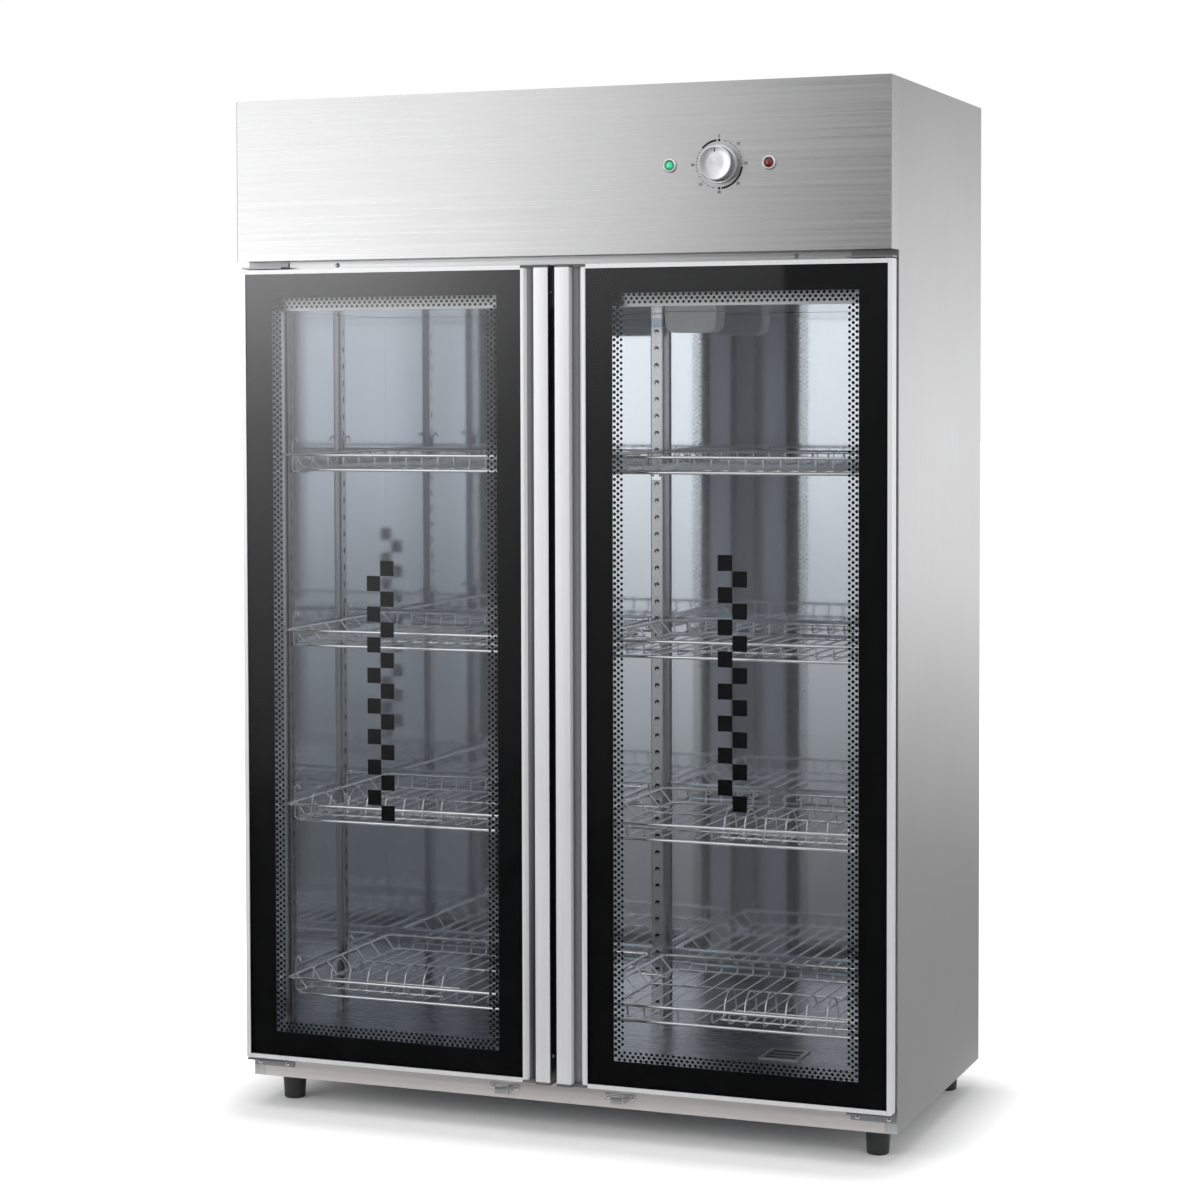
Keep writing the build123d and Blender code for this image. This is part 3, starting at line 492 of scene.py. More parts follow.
print_black = moulded(
    "glass_print", (0.003, 0.003, 0.0032), (0.0045, 0.0045, 0.005), (0.35, 0.5), depth=0.004,
    Specular_IOR_Level=0.04,
)
mark_black = moulded(
    "dial_print", (0.012, 0.012, 0.013), (0.02, 0.02, 0.021), (0.5, 0.7), depth=0.003, Specular_IOR_Level=0.1
)
door_glass = pane("door_glass_clear", (0.98, 0.99, 0.995), 1.52)
tube_glass = pane("tube_glass", (0.86, 0.89, 0.93), 1.5)
green_lens = lens(
    "green_lens", (0.0, 0.09, 0.04), (0.01, 0.20, 0.09), (0.10, 0.95, 0.45), 0.85, LAMP_X["drying_lamp"]
)
red_lens = lens(
    "red_lens", (0.05, 0.003, 0.003), (0.13, 0.01, 0.01), (0.26, 0.02, 0.02), 0.3, LAMP_X["sterilizing_lamp"]
)

SLOT_MATERIALS = {
    "brushed_stainless": panel_metal,
    "polished_stainless": mirror_metal,
    "wire": chrome,
    "frame_aluminium": aluminium,
    "grey_plastic": grey_plastic,
    "door_glass": door_glass,
    "gasket_rubber": gasket,
    "black_plastic": black_plastic,
    "bright_screws": screw_metal,
    "knob_aluminium": knob_metal,
    "green_lens": green_lens,
    "red_lens": red_lens,
    "uv_glass": tube_glass,
    "white_plastic": white_plastic,
    "dark_metal": dark_metal,
}
NODE_MATERIALS = {
    "header_fascia": header_metal,
    "top_panel": header_metal,
    "top_rail": header_metal,
    "bottom_rail": rail_metal,
    "back_panel": back_metal,
    "base_pan": back_metal,
    "liner_floor": lining_bottom_shade_paint,
    "door_catches": catch_metal,
    "hinge_brackets": hinge_shade_paint,
    "front_centre_post": post_shade_paint,
}
for name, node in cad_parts.items():
    for place in node.material_slots:
        place.material = NODE_MATERIALS.get(name, SLOT_MATERIALS[place.material.name])

# ------------------------------------------------------------ racks
def rack_shape(low):
    """One welded rack of the right-hand side, its sides leaning out to the rim."""
    shape = Shape()
    thick, thin, brace = 2.75, 1.6, 2.2
    grid_wires, grid_pitch, side_wires = 17, 31.0, 7
    (x0, x1), (y0, y1) = RACK_X, RACK_Y
    rim_z = low + RACK_HEIGHT - thick
    floor_z = low + thick
    left, right, near, far = x0 + thick, x1 - thick, y0 + thick, y1 - thick
    corners = [(left, near), (right, near), (right, far), (left, far)]
    wire(shape, rounded([(x, y, rim_z) for x, y in corners], 14.0, True, 5), thick, 10, True)
    inset = [(x + (RACK_TAPER if x < 200 else -RACK_TAPER), y) for x, y in corners]
    wire(shape, rounded([(x, y, floor_z) for x, y in inset], 12.0, True, 5), thick, 10, True)
    grid_z = floor_z + thick + thin
    front, back = y0 + 2 * thick + thin, y1 - 2 * thick - thin
    middle = (x0 + x1) / 2
    for n in range(grid_wires):
        x = middle + grid_pitch * (n - grid_wires // 2)
        line = [(x, front, rim_z + 1.0), (x, front, grid_z), (x, back, grid_z), (x, back, rim_z + 1.0)]
        wire(shape, rounded(line, 7.0), thin)
    for y in (y0 + 118.0, y0 + 300.0):
        wire(shape, [(x0 + RACK_TAPER, y, floor_z + 0.6), (x1 - RACK_TAPER, y, floor_z + 0.6)], brace)
    for n in range(side_wires):
        y = y0 + 30.0 + n * (y1 - y0 - 60.0) / (side_wires - 1)
        for outer, lean in ((right, -RACK_TAPER), (left, RACK_TAPER)):
            step = -2 * thick if lean < 0 else 2 * thick
            line = [
                (outer + step * 0.8, y, rim_z + 1.0),
                (outer + lean + step * 0.8, y, grid_z),
                (outer + lean + step * 3.5, y, grid_z),
            ]
            wire(shape, rounded(line, 6.0, False, 3), thin)
    return shape


for number, tier in enumerate(TIERS, start=1):
    for side, shape in both_sides(rack_shape(tier)):
        made = shape.piece(f"rack_{number}_{side}_wire", [chrome], "cabinet", "wire", smooth=60)
        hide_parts(f"rack_{number}_{side}")


# ------------------------------------------------------------ plate dividers
def divider_shape():
    """The two right-hand dividers: rails along the rack and loops between plates."""
    shape = Shape()
    loops, pitch = 8, 37.0
    front, back = -169.0, -94.0
    for tier in TIERS[:2]:
        feet = tier + 9.0
        top = tier + 54.0
        for y in (front, back):
            wire(shape, [(263.0, y, feet), (531.0, y, feet)], 1.8)
        for n in range(loops):
            x = 267.5 + pitch * n
            line = [
                (x, front, feet),
                (x, front + 10.5, top - 13.0),
                (x, front + 26.5, top),
                (x, back - 26.5, top),
                (x, back - 10.5, top - 13.0),
                (x, back, feet),
            ]
            wire(shape, rounded(line, 16.0, False, 5), 1.6)
    return shape


for side, shape in both_sides(divider_shape()):
    made = shape.piece(f"plate_divider_wires_{side}", [chrome], "cabinet", "wire", smooth=60)
    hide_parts(f"plate_dividers_{side}")


# ------------------------------------------------------------ rack hooks and brackets
hooks = Shape()
for sign in (1, -1):
    for tier in TIERS:
        for y in PILASTER_Y:
            over = [(570.0, 31.0), (564.9, 31.5), (564.6, 50.0), (561.5, 58.0), (556.0, 58.0), (554.0, 51.0)]
            under = [(564.9, 31.5), (564.9, -2.4), (532.0, -2.4), (530.0, 5.0)]
            for line in (over, under):
                line = [(sign * x, y, tier + z) for x, z in line]
                wire(hooks, rounded(line, 5.0), 2.1)
made = hooks.piece("rack_hook_wires", [chrome], "cabinet", "wire", smooth=60)
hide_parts("rack_clips")

brackets = Shape()
for tier in TIERS:
    under_rack = tier - 2.4
    for sign in (1, -1):
        rear = [
            (sign * 6.0, CHANNEL_FACE - 0.5, tier - 17.0),
            (sign * 9.0, CHANNEL_FACE - 4.0, tier - 14.0),
            (sign * 22.0, CHANNEL_FACE - 10.0, under_rack),
            (sign * 36.0, RACK_Y[1] - 26.0, under_rack),
            (sign * 36.0, RACK_Y[1] - 40.0, under_rack),
        ]
        wire(brackets, rounded(rear, 8.0), 2.0)
    wire(brackets, [(x, RACK_Y[1] - 36.0, under_rack) for x in (-36.0, 36.0)], 2.0)
    face, rear_face = CHANNEL_FACE - 1.8, CHANNEL_FACE - 0.2
    plate = [(9.0, rear_face), (9.0, face), (-9.0, face), (-9.0, rear_face)]
    upright(brackets, plate, tier - 24.0, tier - 9.0)
    front = [(-12.5, -226.2), (12.5, -226.2), (36.0, -173.5), (-36.0, -173.5)]
    upright(brackets, front, tier - 2.3, tier - 0.4)
    lip = [(-12.5, -226.3), (12.5, -226.3), (12.5, -224.3), (-12.5, -224.3)]
    upright(brackets, lip, tier - 20.0, tier - 0.4)
made = brackets.piece("centre_bracket_wires", [chrome], "cabinet", "wire", smooth=50)
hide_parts("centre_brackets")


# ------------------------------------------------------------ slotted uprights
def heights_from(start, low, high, margin=12.0):
    """Heights a slot's pitch apart, through start, clear of both ends."""
    first = start
    while first - SLOT_PITCH > low + margin:
        first -= SLOT_PITCH
    heights = []
    while first < high - margin:
        heights.append(first)
        first += SLOT_PITCH
    return heights


slots = heights_from(222.0, CAVITY_LOW, CAVITY_HIGH)
low, high = CAVITY_LOW + 0.3, CAVITY_HIGH - 0.3
right = Shape()
for centre in PILASTER_Y:
    def on_side(u, z, depth, middle=centre):
        return (PILASTER_FACE + depth, middle + u, z)

    punched(right, on_side, 9.0, slots, ring_of(5.0, 10.0, 1.2), 1.2, low, high)
    for sign in (-1, 1):
        flange = [
            (PILASTER_FACE, centre + sign * 9.0),
            (PILASTER_FACE + 0.5, centre + sign * 10.4),
            (PILASTER_FACE + 1.8, centre + sign * 11.0),
            (CAVITY_HALF - 0.2, centre + sign * 11.0),
            (CAVITY_HALF - 0.2, centre + sign * 9.8),
            (PILASTER_FACE + 1.4, centre + sign * 9.8),
            (PILASTER_FACE + 1.2, centre + sign * 9.0),
        ]
        upright(right, flange if sign < 0 else list(reversed(flange)), low, high)
for side, shape in both_sides(right):
    name = f"slotted_uprights_{side}"
    made = shape.piece(name, [upright_metal], "cabinet", "polished_stainless", smooth=30)
    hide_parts(f"pilasters_{side}")

channel = Shape()


def on_channel(u, z, depth):
    return (u, CHANNEL_FACE + depth, z)


punched(channel, on_channel, 10.0, slots, ring_of(9.0, 9.0, 3.4), 1.2, low, high)
for sign in (-1, 1):
    flange = [
        (sign * 10.0, CHANNEL_FACE),
        (sign * 11.6, CHANNEL_FACE + 0.6),
        (sign * 12.5, CHANNEL_FACE + 2.4),
        (sign * 12.5, CAVITY_BACK - 0.2),
        (sign * 11.3, CAVITY_BACK - 0.2),
        (sign * 11.3, CHANNEL_FACE + 2.4),
        (sign * 10.0, CHANNEL_FACE + 1.2),
    ]
    upright(channel, flange if sign > 0 else list(reversed(flange)), low, high)
near, far = CHANNEL_FACE + 1.2, CHANNEL_FACE + 2.6
for height in slots:
    upright(channel, [(-2.6, near), (2.6, near), (2.6, far), (-2.6, far)], height - 4.2, height - 0.6)
made = channel.piece("slotted_rear_channel", [upright_metal], "cabinet", "polished_stainless", smooth=30)
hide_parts("rear_centre_channel")


# ------------------------------------------------------------ door frames
def handle_shape():
    """The extruded handle stile of the right-hand door, with soft corners."""
    shape = Shape()
    inner, strip_edge, groove_end, glass_edge = 6.0, 33.0, 52.0, 80.0
    corners = [
        ((inner, DOOR_BACK), 1.0), ((inner, STRIP_FRONT), 1.6), ((strip_edge, STRIP_FRONT), 1.6),
        ((strip_edge, -277.2), 1.2), ((39.0, -277.0), 3.0), ((46.5, -279.2), 6.0),
        ((53.0, DOOR_FRONT), 1.0), ((60.0, DOOR_FRONT), 0.8), ((60.0, -284.0), 0.2),
        ((55.8, -284.0), 0.2), ((55.8, -279.6), 0.2), ((glass_edge, -279.6), 0.4),
        ((glass_edge, DOOR_BACK), 0.8),
    ]
    outline = []
    count = len(corners)
    for i, ((x, y), radius) in enumerate(corners):
        here = Vector((x, y, 0))
        before = Vector((*corners[i - 1][0], 0)) - here
        after = Vector((*corners[(i + 1) % count][0], 0)) - here
        cut = min(radius, before.length * 0.45, after.length * 0.45)
        start, end = here + before.normalized() * cut, here + after.normalized() * cut
        outline += [(p.x, p.y) for p in corner_curve(start, here, end, 4)]
    outline.reverse()
    upright(shape, outline, DOOR_LOW + 5.0, DOOR_HIGH - 5.0)
    # painted shade: groove faces and the faces beside the gap between the doors get darker metal
    shaded = [
        x < inner + 0.1 or (strip_edge - 0.1 < x < groove_end and y > DOOR_FRONT + 0.5) for x, y in outline
    ]
    for n, dark in enumerate(shaded):
        if dark and shaded[(n + 1) % len(outline)]:
            shape.marks[n] = 2
    screw_head = [(3.4, -0.1), (3.2, -0.8), (2.2, -1.3), (0.8, -1.5)]
    for z in (DOOR_LOW + 48.0, DOOR_HIGH - 48.0):
        turned(shape, screw_head, (inner, -276.0, z), "X", 16, mark=1)
    return shape


for side, shape in both_sides(handle_shape()):
    metals = [aluminium, screw_metal, groove_shade_paint]
    made = shape.piece(f"handle_extrusion_{side}", metals, f"{side}_door", "frame_aluminium", smooth=40)
    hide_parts(f"handle_stile_{side}")


# ------------------------------------------------------------ print on the glass
BAND_X = (107.0, 540.0)
BAND_Z = (139.0, 1452.0)
PRINT_Y = GLASS_BACK + 0.1
DOT_PITCH = 9.85
DOT_ROWS = ((3.2, 2.95), (9.5, 2.85), (15.8, 2.65))
CHEQUER_WIDE = 26.0
CHEQUER_HIGH = 27.03


def print_shape(chequer_x, chequer_top, chequer_count):
    """Border, dot rows and chequered strip of the right-hand pane."""
    shape = Shape()
    around_edge = [
        [(x0, z0), (x1, z0), (x1, z1), (x0, z1)]
        for (x0, x1), (z0, z1) in ((GLASS_X, GLASS_Z), (BAND_X, BAND_Z))
    ]
    ring = [(x, PRINT_Y, z) for corners in around_edge for x, z in corners]
    shape.add(ring, [(i, (i + 1) % 4, 4 + (i + 1) % 4, 4 + i) for i in range(4)])
    wide, high = BAND_X[1] - BAND_X[0], BAND_Z[1] - BAND_Z[0]
    across, along = round(wide / DOT_PITCH), round(high / DOT_PITCH)
    for row, (inset, radius) in enumerate(DOT_ROWS):
        x0, x1 = BAND_X[0] + inset, BAND_X[1] - inset
        z0, z1 = BAND_Z[0] + inset, BAND_Z[1] - inset
        shift = 0.5 * (row % 2)
        for n in range(across + 1):
            x = BAND_X[0] + (n + shift) * wide / across
            if x0 - 0.1 <= x <= x1 + 0.1:
                for z in (z0, z1):
                    disc(shape, (x, PRINT_Y, z), radius)
        for n in range(along + 1):
            z = BAND_Z[0] + (n + shift) * high / along
            if z0 + 5.0 <= z <= z1 - 5.0:
                for x in (x0, x1):
                    disc(shape, (x, PRINT_Y, z), radius)
    for n in range(chequer_count):
        top = chequer_top - CHEQUER_HIGH * n
        x0 = chequer_x if n % 2 else chequer_x - CHEQUER_WIDE
        low, x1 = top - CHEQUER_HIGH, x0 + CHEQUER_WIDE
        corners = [(x0, PRINT_Y, low), (x1, PRINT_Y, low), (x1, PRINT_Y, top), (x0, PRINT_Y, top)]
        shape.add(corners, [(0, 1, 2, 3)])
    return shape


right = print_shape(321.0, 1011.0, 16)
left = print_shape(330.6, 989.0, 17).mirrored()
for side, shape in (("right", right), ("left", left)):
    shape.piece(f"glass_print_{side}", [print_black], f"{side}_door", "black_plastic", smooth=0)


# ------------------------------------------------------------ controls
KNOB_SIDES = 288
KNOB_PROFILE = (
    (32.0, -1.0), (32.0, -4.2), (31.4, -4.9), (29.6, -5.0), (29.1, -5.4), (29.0, -6.4), (29.0, -22.6),
    (28.6, -23.6), (27.6, -24.7), (26.9, -25.0), (26.2, -24.7), (14.0, -24.4), (0.4, -24.3),
)
BEZEL_PROFILE = (
    (12.0, 0.0), (12.0, -1.4), (11.6, -2.8), (10.8, -3.7), (9.8, -4.0),
    (8.8, -3.6), (8.1, -2.6), (8.0, -0.6), (7.95, 0.0),
)
LENS_PROFILE = (
    (LENS_RADIUS, 13.0), (LENS_RADIUS, -1.6), (7.3, -2.6), (6.2, -3.6), (4.6, -4.4), (2.6, -4.9), (0.5, -5.0),
)
PRINT_FACE = HEADER_FRONT - 0.12
PRINT_RADIUS = 40.0
ARCS = ((312.0, 353.0), (97.0, 174.0))

dial_x, dial_z = DIAL
knob = Shape()
turned(knob, KNOB_PROFILE, (dial_x, HEADER_FRONT, dial_z), "Y", KNOB_SIDES, flute=(72, 1.3, 5, 6))
# painted shade: the fluted rows take the darker flute metal
for n in range(4 * KNOB_SIDES, 7 * KNOB_SIDES):
    knob.marks[n] = 2
face = HEADER_FRONT - 24.85
pointer = ((-0.9, 18.5), (0.9, 18.5), (0.9, 24.5), (-0.9, 24.5))
knob.add(
    [(dial_x + a, face + d, dial_z + b) for d in (0.0, 0.4) for a, b in pointer],
    [(0, 1, 2, 3), (0, 4, 5, 1), (1, 5, 6, 2), (2, 6, 7, 3), (3, 7, 4, 0)],
    1,
)
knob_metals = [knob_metal, mark_black, flute_shade_paint]
made = knob.piece("timer_knob_turned", knob_metals, "timer_dial", "knob_aluminium", smooth=35)
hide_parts("timer_knob")


def around(turn, reach):
    """A point of the dial's print: degrees clockwise from the top."""
    return (dial_x + reach * sin(radians(turn)), PRINT_FACE, dial_z + reach * cos(radians(turn)))


scale = Shape()
for start, end in ARCS:
    steps = 24
    turns = [start + (end - start) * k / steps for k in range(steps + 1)]
    strip = [around(t, r) for t in turns for r in (PRINT_RADIUS - 1.7, PRINT_RADIUS + 1.7)]
    scale.add(strip, [(2 * k, 2 * k + 1, 2 * k + 3, 2 * k + 2) for k in range(steps)])
for turn in (0.0, 180.0):
    disc(scale, around(turn, PRINT_RADIUS), 2.3, 16)
for n in [*range(2, 24), *range(26, 48)]:
    turn = 7.5 * n
    if not any(start < turn < end for start, end in ARCS):
        disc(scale, around(turn, PRINT_RADIUS), 0.85 if n % 2 else 1.15, 8)
scale.piece("dial_scale_print", [mark_black], "cabinet", "black_plastic", smooth=0)

for step in range(7):
    text = str(10 * step)
    curve = bpy.data.curves.new(f"dial_number_{text}", "FONT")
    curve.body = text
    curve.size = 6.6 * MM
    curve.offset = 0.12 * MM
    curve.align_x = "CENTER"
    curve.align_y = "CENTER"
    curve.extrude = 0.02 * MM
    number = bpy.data.objects.new(f"dial_number_{text}", curve)
    bpy.context.scene.collection.objects.link(number)
    number.location = [c * MM for c in around(45 * step, PRINT_RADIUS + 6.5)]
    number.rotation_euler = (radians(90), 0, 0)
    number.data.materials.append(mark_black)
    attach(number, "cabinet")

bezels = Shape()
for x in LAMP_X.values():
    turned(bezels, BEZEL_PROFILE, (x, HEADER_FRONT, dial_z), "Y", 40, capped=False)
made = bezels.piece("lamp_bezels_turned", [chrome], "cabinet", "bright_screws", smooth=50)
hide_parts("lamp_bezels")
for node, x in LAMP_X.items():
    dome = Shape()
    turned(dome, LENS_PROFILE, (x, HEADER_FRONT, dial_z), "Y", 36)
    slot = "green_lens" if node == "drying_lamp" else "red_lens"
    made = dome.piece(f"{node}_lens", [SLOT_MATERIALS[slot]], "cabinet", slot, smooth=60)
    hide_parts(node)


# ------------------------------------------------------------ catches and lamp unit
catches = Shape()
for x in (-CATCH_X, CATCH_X):
    box(catches, (x - 28.0, x + 28.0), (BODY_FRONT - 2.0, BODY_FRONT - 0.05), (62.5, 75.5))
    box(catches, (x - 11.5, x + 11.5), (BODY_FRONT - 20.0, BODY_FRONT - 2.0), (60.0, 75.5))
made = catches.piece("catch_blocks", [catch_metal], "cabinet", "brushed_stainless", smooth=30, bevel=0.8)
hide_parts("door_catches")

POD_LONG = 100.0
POD_X = (-164.0, 64.0)
POD_Y = (102.0, 152.0)
POD_CORNER = 16.0


def add_pod(shape, x0, x1):
    """A moulded lamp end under the ceiling, its lower corners well rounded."""
    (y0, y1), z0, z1 = POD_Y, CAVITY_HIGH - 38.0, CAVITY_HIGH - 0.2
    outline = []
    for n, x in enumerate((x0 + POD_CORNER, x1 - POD_CORNER)):
        for k in range(9):
            turn = pi + pi / 2 * n + pi / 2 * k / 8
            outline.append((x + POD_CORNER * cos(turn), z0 + POD_CORNER + POD_CORNER * sin(turn)))
    outline += [(x1, z1), (x0, z1)]
    middle = ((x0 + x1) / 2, (z0 + z1) / 2)
    rows = ((y0, 5.0), (y0 + 0.8, 2.6), (y0 + 2.6, 0.8), (y0 + 5.0, 0.0), (y1 - 5.0, 0.0), (y1, 3.0))
    rings = []
    for y, inset in rows:
        ring = []
        for x, z in outline:
            if z < z1:
                step = Vector((x - middle[0], z - middle[1])).normalized() * inset
                x, z = x - step.x, z - step.y
            ring.append((x, y, z))
        rings.append(ring)
    lofted(shape, rings)


pods = Shape()
for x in POD_X:
    add_pod(pods, x, x + POD_LONG)
made = pods.piece("lamp_end_housings", [white_plastic], "cabinet", "white_plastic", smooth=35)
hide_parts("uv_lamp_holders")


# ------------------------------------------------------------ screws and feet
screws = Shape()


def screw(x, y, z):
    """A pan-head screw looking forward, its cross recess a flat dark mark: painted shade."""
    radius, height = 4.0, 2.0
    profile = [
        (radius, 0.0), (radius, -0.35 * height), (0.9 * radius, -0.7 * height),
        (0.68 * radius, -0.93 * height), (0.4 * radius, -height), (0.1, -height),
    ]
    turned(screws, profile, (x, y, z), "Y", 20)
    arm, half = 0.52 * radius, 0.12 * radius
    cross = [
        (-half, arm), (half, arm), (half, half), (arm, half), (arm, -half), (half, -half),
        (half, -arm), (-half, -arm), (-half, -half), (-arm, -half), (-arm, half), (-half, half),
    ]
    # the cross is a flat dark sheet just before the head: painted shade for the recess, not a hollow
    screws.add([(x + a, y - height - 0.03, z + b) for a, b in cross], [tuple(reversed(range(12)))], 1)


for sign in (-1, 1):
    for offset in (-22.2, 22.2):
        screw(sign * CATCH_X + offset, BODY_FRONT - 2.0, 69.0)
    screw(sign * 424.0, BODY_FRONT, 1509.5)
    for x in (586.0, 532.0):
        screw(sign * x, BODY_FRONT - 3.0, 75.0)
made = screws.piece("pan_head_screws", [screw_metal, dark_metal], "cabinet", "bright_screws", smooth=40)
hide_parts("body_screws")

FOOT_PROFILE = ((17.2, 0.0), (18.4, 0.7), (19.0, 2.4), (21.4, 44.0), (22.0, 46.5), (22.0, 50.0))
feet = Shape()
for x in (-550.0, 550.0):
    for y in (-191.5, 277.5):
        turned(feet, FOOT_PROFILE, (x, y, 0.0), "Z", 40)
made = feet.piece("rubber_feet", [black_plastic], "cabinet", "black_plastic", smooth=35)
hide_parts("feet")


# ------------------------------------------------------------ studio
def staged(name, points, material):
    """A four-cornered sheet of the studio, in metres."""
    mesh = bpy.data.meshes.new(name)
    mesh.from_pydata(points, [], [(0, 1, 2, 3)])
    mesh.materials.append(material)
    made = bpy.data.objects.new(name, mesh)
    bpy.context.scene.collection.objects.link(made)
    return made


def level_sheet(x0, x1, y0, y1, z):
    return [(x0, y0, z), (x1, y0, z), (x1, y1, z), (x0, y1, z)]


def facing_sheet(x0, x1, z0, z1, y):
    return [(x0, y, z0), (x1, y, z0), (x1, y, z1), (x0, y, z1)]


# The floor shines by itself away from the cabinet, so that it is white there
# and keeps the shadow near the feet.
FOOTPRINT = (0.55, 0.28, 0.0)
FLOOR_FADE = 2.4
FLOOR_REACH = 60.0
floor_look = Nodes("studio_floor")
floor_look.colour(floor_look.between(floor_look.noise(1.5), 0.90, 0.92))
floor_look.set(Roughness=0.9)
outside = floor_look.vector("SUBTRACT", floor_look.vector("ABSOLUTE", floor_look.place), FOOTPRINT)
away = floor_look.vector("LENGTH", floor_look.vector("MAXIMUM", outside, (0.0, 0.0, 0.0)))
span = floor_look.add("ShaderNodeMapRange", {"Value": away, "From Max": FLOOR_FADE})
lift = floor_look.ramp(span.outputs[0], (0.0, 0.0), (0.025, 0.02), (0.07, 0.45), (0.12, 0.86), (0.22, 1.0))
shine = floor_look.number("MULTIPLY", floor_look.seen(), lift)
floor_look.link(shine, floor_look.shader.inputs["Emission Strength"])
floor_look.set(Emission_Color=(1, 1, 1, 1))
floor_corners = level_sheet(-FLOOR_REACH, FLOOR_REACH, -FLOOR_REACH, FLOOR_REACH, -0.0004)
staged("floor", floor_corners, floor_look.material)

world = bpy.data.worlds.new("studio")
bpy.context.scene.world = world
sky = Tree(world)
level = sky.add("ShaderNodeMapRange", {"Value": sky.seen(), "To Min": 0.62, "To Max": 1.0})
background = sky.add("ShaderNodeBackground", {0: (1, 1, 1, 1), 1: level.outputs[0]})
sky.add("ShaderNodeOutputWorld", {0: background.outputs[0]})


def graded(look, place, peak, profiles):
    """A grey from one or two ramps in metres, each along its own axis."""
    split = look.add("ShaderNodeSeparateXYZ", {0: place}).outputs
    level = None
    for axis, stops in profiles:
        first, last = stops[0][0], stops[-1][0]
        inputs = {"Value": split[axis], "From Min": first, "From Max": last}
        span = look.add("ShaderNodeMapRange", inputs)
        part = look.ramp(span.outputs[0], *[((at - first) / (last - first), grey) for at, grey in stops])
        level = part if level is None else look.multiplied(level, part)
    return look.add("ShaderNodeVectorMath", {0: level, "Scale": peak}, operation="SCALE").outputs[0]


def card(name, corners, peak, profiles, inner_peak=None, inner_profiles=None):
    """A card that only polished surfaces see.

    The inner values are what a ray meets that has come out through the clear
    part of the glass, so they show in the lining behind it.
    """
    material = bpy.data.materials.new(name)
    look = Tree(material)
    place = look.add("ShaderNodeTexCoord").outputs["Object"]
    shade = graded(look, place, peak, profiles)
    if inner_profiles:
        inner = graded(look, place, inner_peak, inner_profiles)
        depth = look.add("ShaderNodeLightPath").outputs["Transparent Depth"]
        through = look.number("GREATER_THAN", depth, 0.5)
        shade = look.add("ShaderNodeMix", {0: through, 4: shade, 5: inner}, data_type="VECTOR").outputs[1]
    glow = look.add("ShaderNodeEmission", {0: shade})
    look.add("ShaderNodeOutputMaterial", {0: glow.outputs[0]})
    made = staged(name, corners, material)
    made.visible_camera = False
    made.visible_diffuse = False
    made.visible_shadow = False
    made.visible_transmission = False


# The front card changes at the height between what the header and the doors
# mirror, and again to the right of what the doors mirror to the camera.
LEFT, RIGHT, FRONT, BACK, TOP = -6.0, 8.0, -5.4, 3.2, 4.6
RIGHT_WALL, LEFT_WALL = 5.5, -5.9
ON_FLOOR = 0.004
CARD_SPLIT = 1.76
CARD_TURN = 0.4
ACROSS_DOORS = [
    (LEFT, 1.0), (-3.3, 1.0), (-3.0, 0.92), (-2.75, 0.78), (-2.6, 0.66), (-2.45, 0.52), (-2.3, 0.4),
    (-1.93, 0.21), (-1.55, 0.17), (-1.2, 0.14), (-1.18, 0.04), (-0.8, 0.03), (CARD_TURN, 0.02),
]
DOWN_DOORS = [
    (0.0, 0.08), (0.35, 0.14), (0.62, 0.2), (0.88, 0.3), (1.14, 0.43), (1.4, 0.68), (1.66, 1.0),
    (CARD_SPLIT, 1.1),
]
card(
    "front_card_high",
    facing_sheet(LEFT, RIGHT, CARD_SPLIT, TOP, FRONT),
    2.0,
    [("X", [
        (LEFT, 0.7), (-3.3, 0.83), (-2.4, 0.8), (-1.6, 0.5), (-1.0, 0.19), (-0.5, 0.04), (-0.1, 0.05),
        (1.4, 0.32), (RIGHT, 0.4),
    ])],
)
card(
    "front_card_low",
    facing_sheet(LEFT, CARD_TURN, 0.0, CARD_SPLIT, FRONT),
    4.6,
    [("X", ACROSS_DOORS), ("Z", DOWN_DOORS)],
    1.45,
    [
        ("X", [
            (LEFT, 0.4), (-2.6, 0.5), (-2.3, 1.0), (-1.87, 1.0), (-1.76, 0.3), (-1.54, 0.3), (-1.47, 0.95),
            (-0.7, 0.9), (-0.55, 0.42), (CARD_TURN, 0.28),
        ]),
        ("Z", [(0.0, 0.32), (0.6, 0.6), (1.1, 0.9), (1.5, 1.0), (CARD_SPLIT, 1.0)]),
    ],
)
card(
    "side_card_low",
    facing_sheet(CARD_TURN, RIGHT, 0.0, CARD_SPLIT, FRONT),
    0.6,
    [("X", [(CARD_TURN, 0.16), (1.0, 0.5), (2.5, 1.0), (RIGHT, 1.0)])],
    0.98,
    [
        ("X", [
            (CARD_TURN, 0.28), (1.45, 0.62), (1.6, 1.0), (1.74, 0.95), (1.8, 0.68), (1.98, 0.72), (2.04, 1.0),
            (2.6, 0.9), (3.1, 0.65), (RIGHT, 0.3),
        ]),
        ("Z", [(0.0, 0.32), (0.5, 0.55), (1.0, 0.95), (1.45, 1.0), (CARD_SPLIT, 1.0)]),
    ],
)
card(
    "strip_card",
    facing_sheet(-2.17, -1.96, 0.0, 1.7, FRONT + 0.05),
    3.0,
    [("Z", [(0.0, 0.7), (1.7, 1.0)])],
    1.45,
    [("Z", [(0.0, 0.32), (0.6, 0.6), (1.1, 0.9), (1.7, 1.0)])],
)
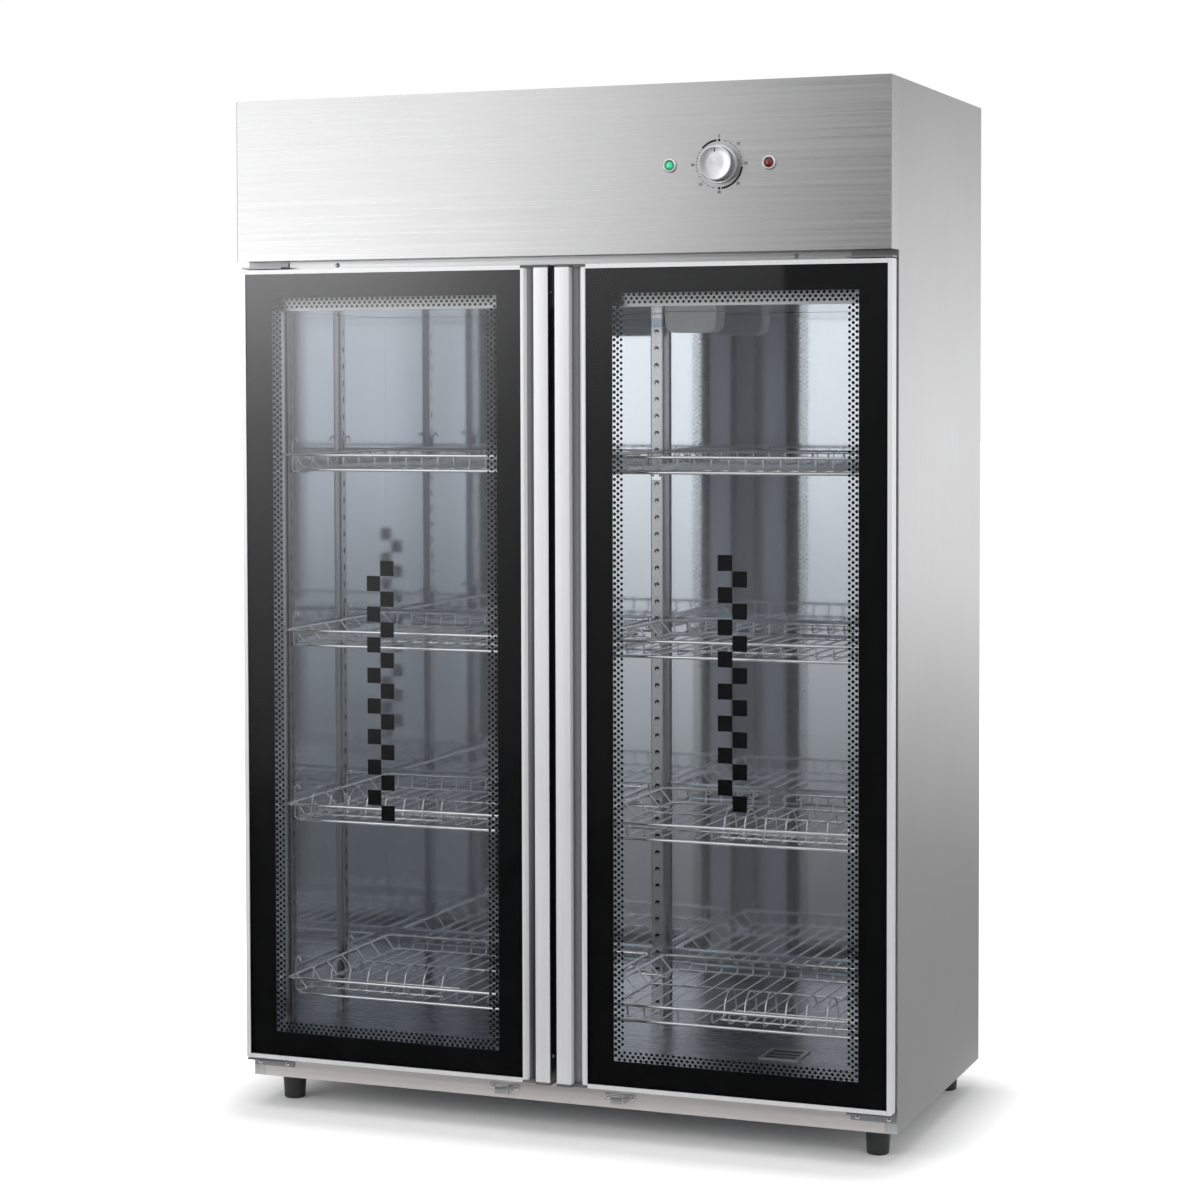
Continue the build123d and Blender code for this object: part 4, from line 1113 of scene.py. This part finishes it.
card(
    "floor_card",
    level_sheet(LEFT, RIGHT, FRONT, -0.45, ON_FLOOR),
    0.4,
    [
        ("X", ACROSS_DOORS + [(1.0, 0.3), (2.5, 1.0), (RIGHT, 1.0)]),
        ("Y", [(FRONT, 1.0), (-2.5, 0.5), (-0.45, 0.2)]),
    ],
    0.5,
    [
        ("X", [(LEFT, 0.6), (-2.0, 1.0), (-0.4, 0.8), (CARD_TURN, 0.6), (2.7, 0.5), (RIGHT, 0.4)]),
        ("Y", [(FRONT, 1.0), (-2.5, 0.5), (-0.45, 0.25)]),
    ],
)
for side, x, deep, level in (("right", RIGHT_WALL, 0.8, 0.4), ("left", LEFT_WALL, 4.0, 0.8)):
    corners = [(x, FRONT, 0.0), (x, deep, 0.0), (x, deep, TOP), (x, FRONT, TOP)]
    card(f"{side}_card", corners, level, [("Z", [(0.0, 0.6), (TOP, 1.0)])])
card(
    "back_card",
    facing_sheet(0.9, RIGHT_WALL, 0.0, TOP, BACK),
    1.3,
    [("Z", [
        (0.0, 0.27), (0.35, 0.5), (0.75, 0.88), (1.3, 0.9), (1.9, 0.58), (2.4, 0.3), (3.0, 0.32), (TOP, 0.45),
    ])],
)
for side, near, far in (("right", 0.63, RIGHT_WALL), ("left", -0.63, LEFT_WALL)):
    corners = level_sheet(near, far, -0.3, BACK, ON_FLOOR)
    card(f"{side}_floor_card", corners, 0.4, [("Y", [(-0.3, 0.9), (BACK, 1.0)])])


def lamp(name, place, target, size, power):
    light = bpy.data.lights.new(name, "AREA")
    light.shape = "RECTANGLE"
    light.size, light.size_y = size
    light.energy = power
    made = bpy.data.objects.new(name, light)
    made.location = place
    made.rotation_euler = (Vector(target) - Vector(place)).to_track_quat("-Z", "Y").to_euler()
    bpy.context.scene.collection.objects.link(made)
    made.visible_glossy = False


lamp("key", (-5.4, -7.3, 4.4), (0.0, 0.0, 0.9), (3.8, 4.6), 280.0)
lamp("fill", (4.2, -2.2, 2.4), (0.4, 0.0, 0.9), (2.6, 2.6), 45.0)
lamp("overhead", (0.0, -0.4, 4.4), (0.0, 0.0, 0.0), (3.6, 3.0), 70.0)

# The photograph's standpoint: a long lens from the right at chest height.
IMAGE_SIZE = 1200.0
FOCAL_PIXELS = 2838.3
SENSOR = 36.0
yaw, pitch, roll = radians(21.06), radians(2.245), radians(-0.141)
ahead = Vector((-sin(yaw) * cos(pitch), cos(yaw) * cos(pitch), -sin(pitch)))
across = Vector((cos(yaw), sin(yaw), 0.0))
above = across.cross(ahead)
right_hand = across * cos(roll) + above * sin(roll)
upward = above * cos(roll) - across * sin(roll)
turn = Matrix((right_hand, upward, -ahead)).transposed().to_4x4()
camera = bpy.data.objects.new("camera", bpy.data.cameras.new("camera"))
bpy.context.scene.collection.objects.link(camera)
camera.matrix_world = Matrix.Translation((1.8198, -4.7879, 1.290)) @ turn
camera.data.sensor_width = SENSOR
camera.data.lens = SENSOR * FOCAL_PIXELS / IMAGE_SIZE
camera.data.shift_y = -100.0 / IMAGE_SIZE
camera.data.clip_end = 200.0
bpy.context.scene.camera = camera

bpy.context.scene.view_settings.view_transform = "Standard"
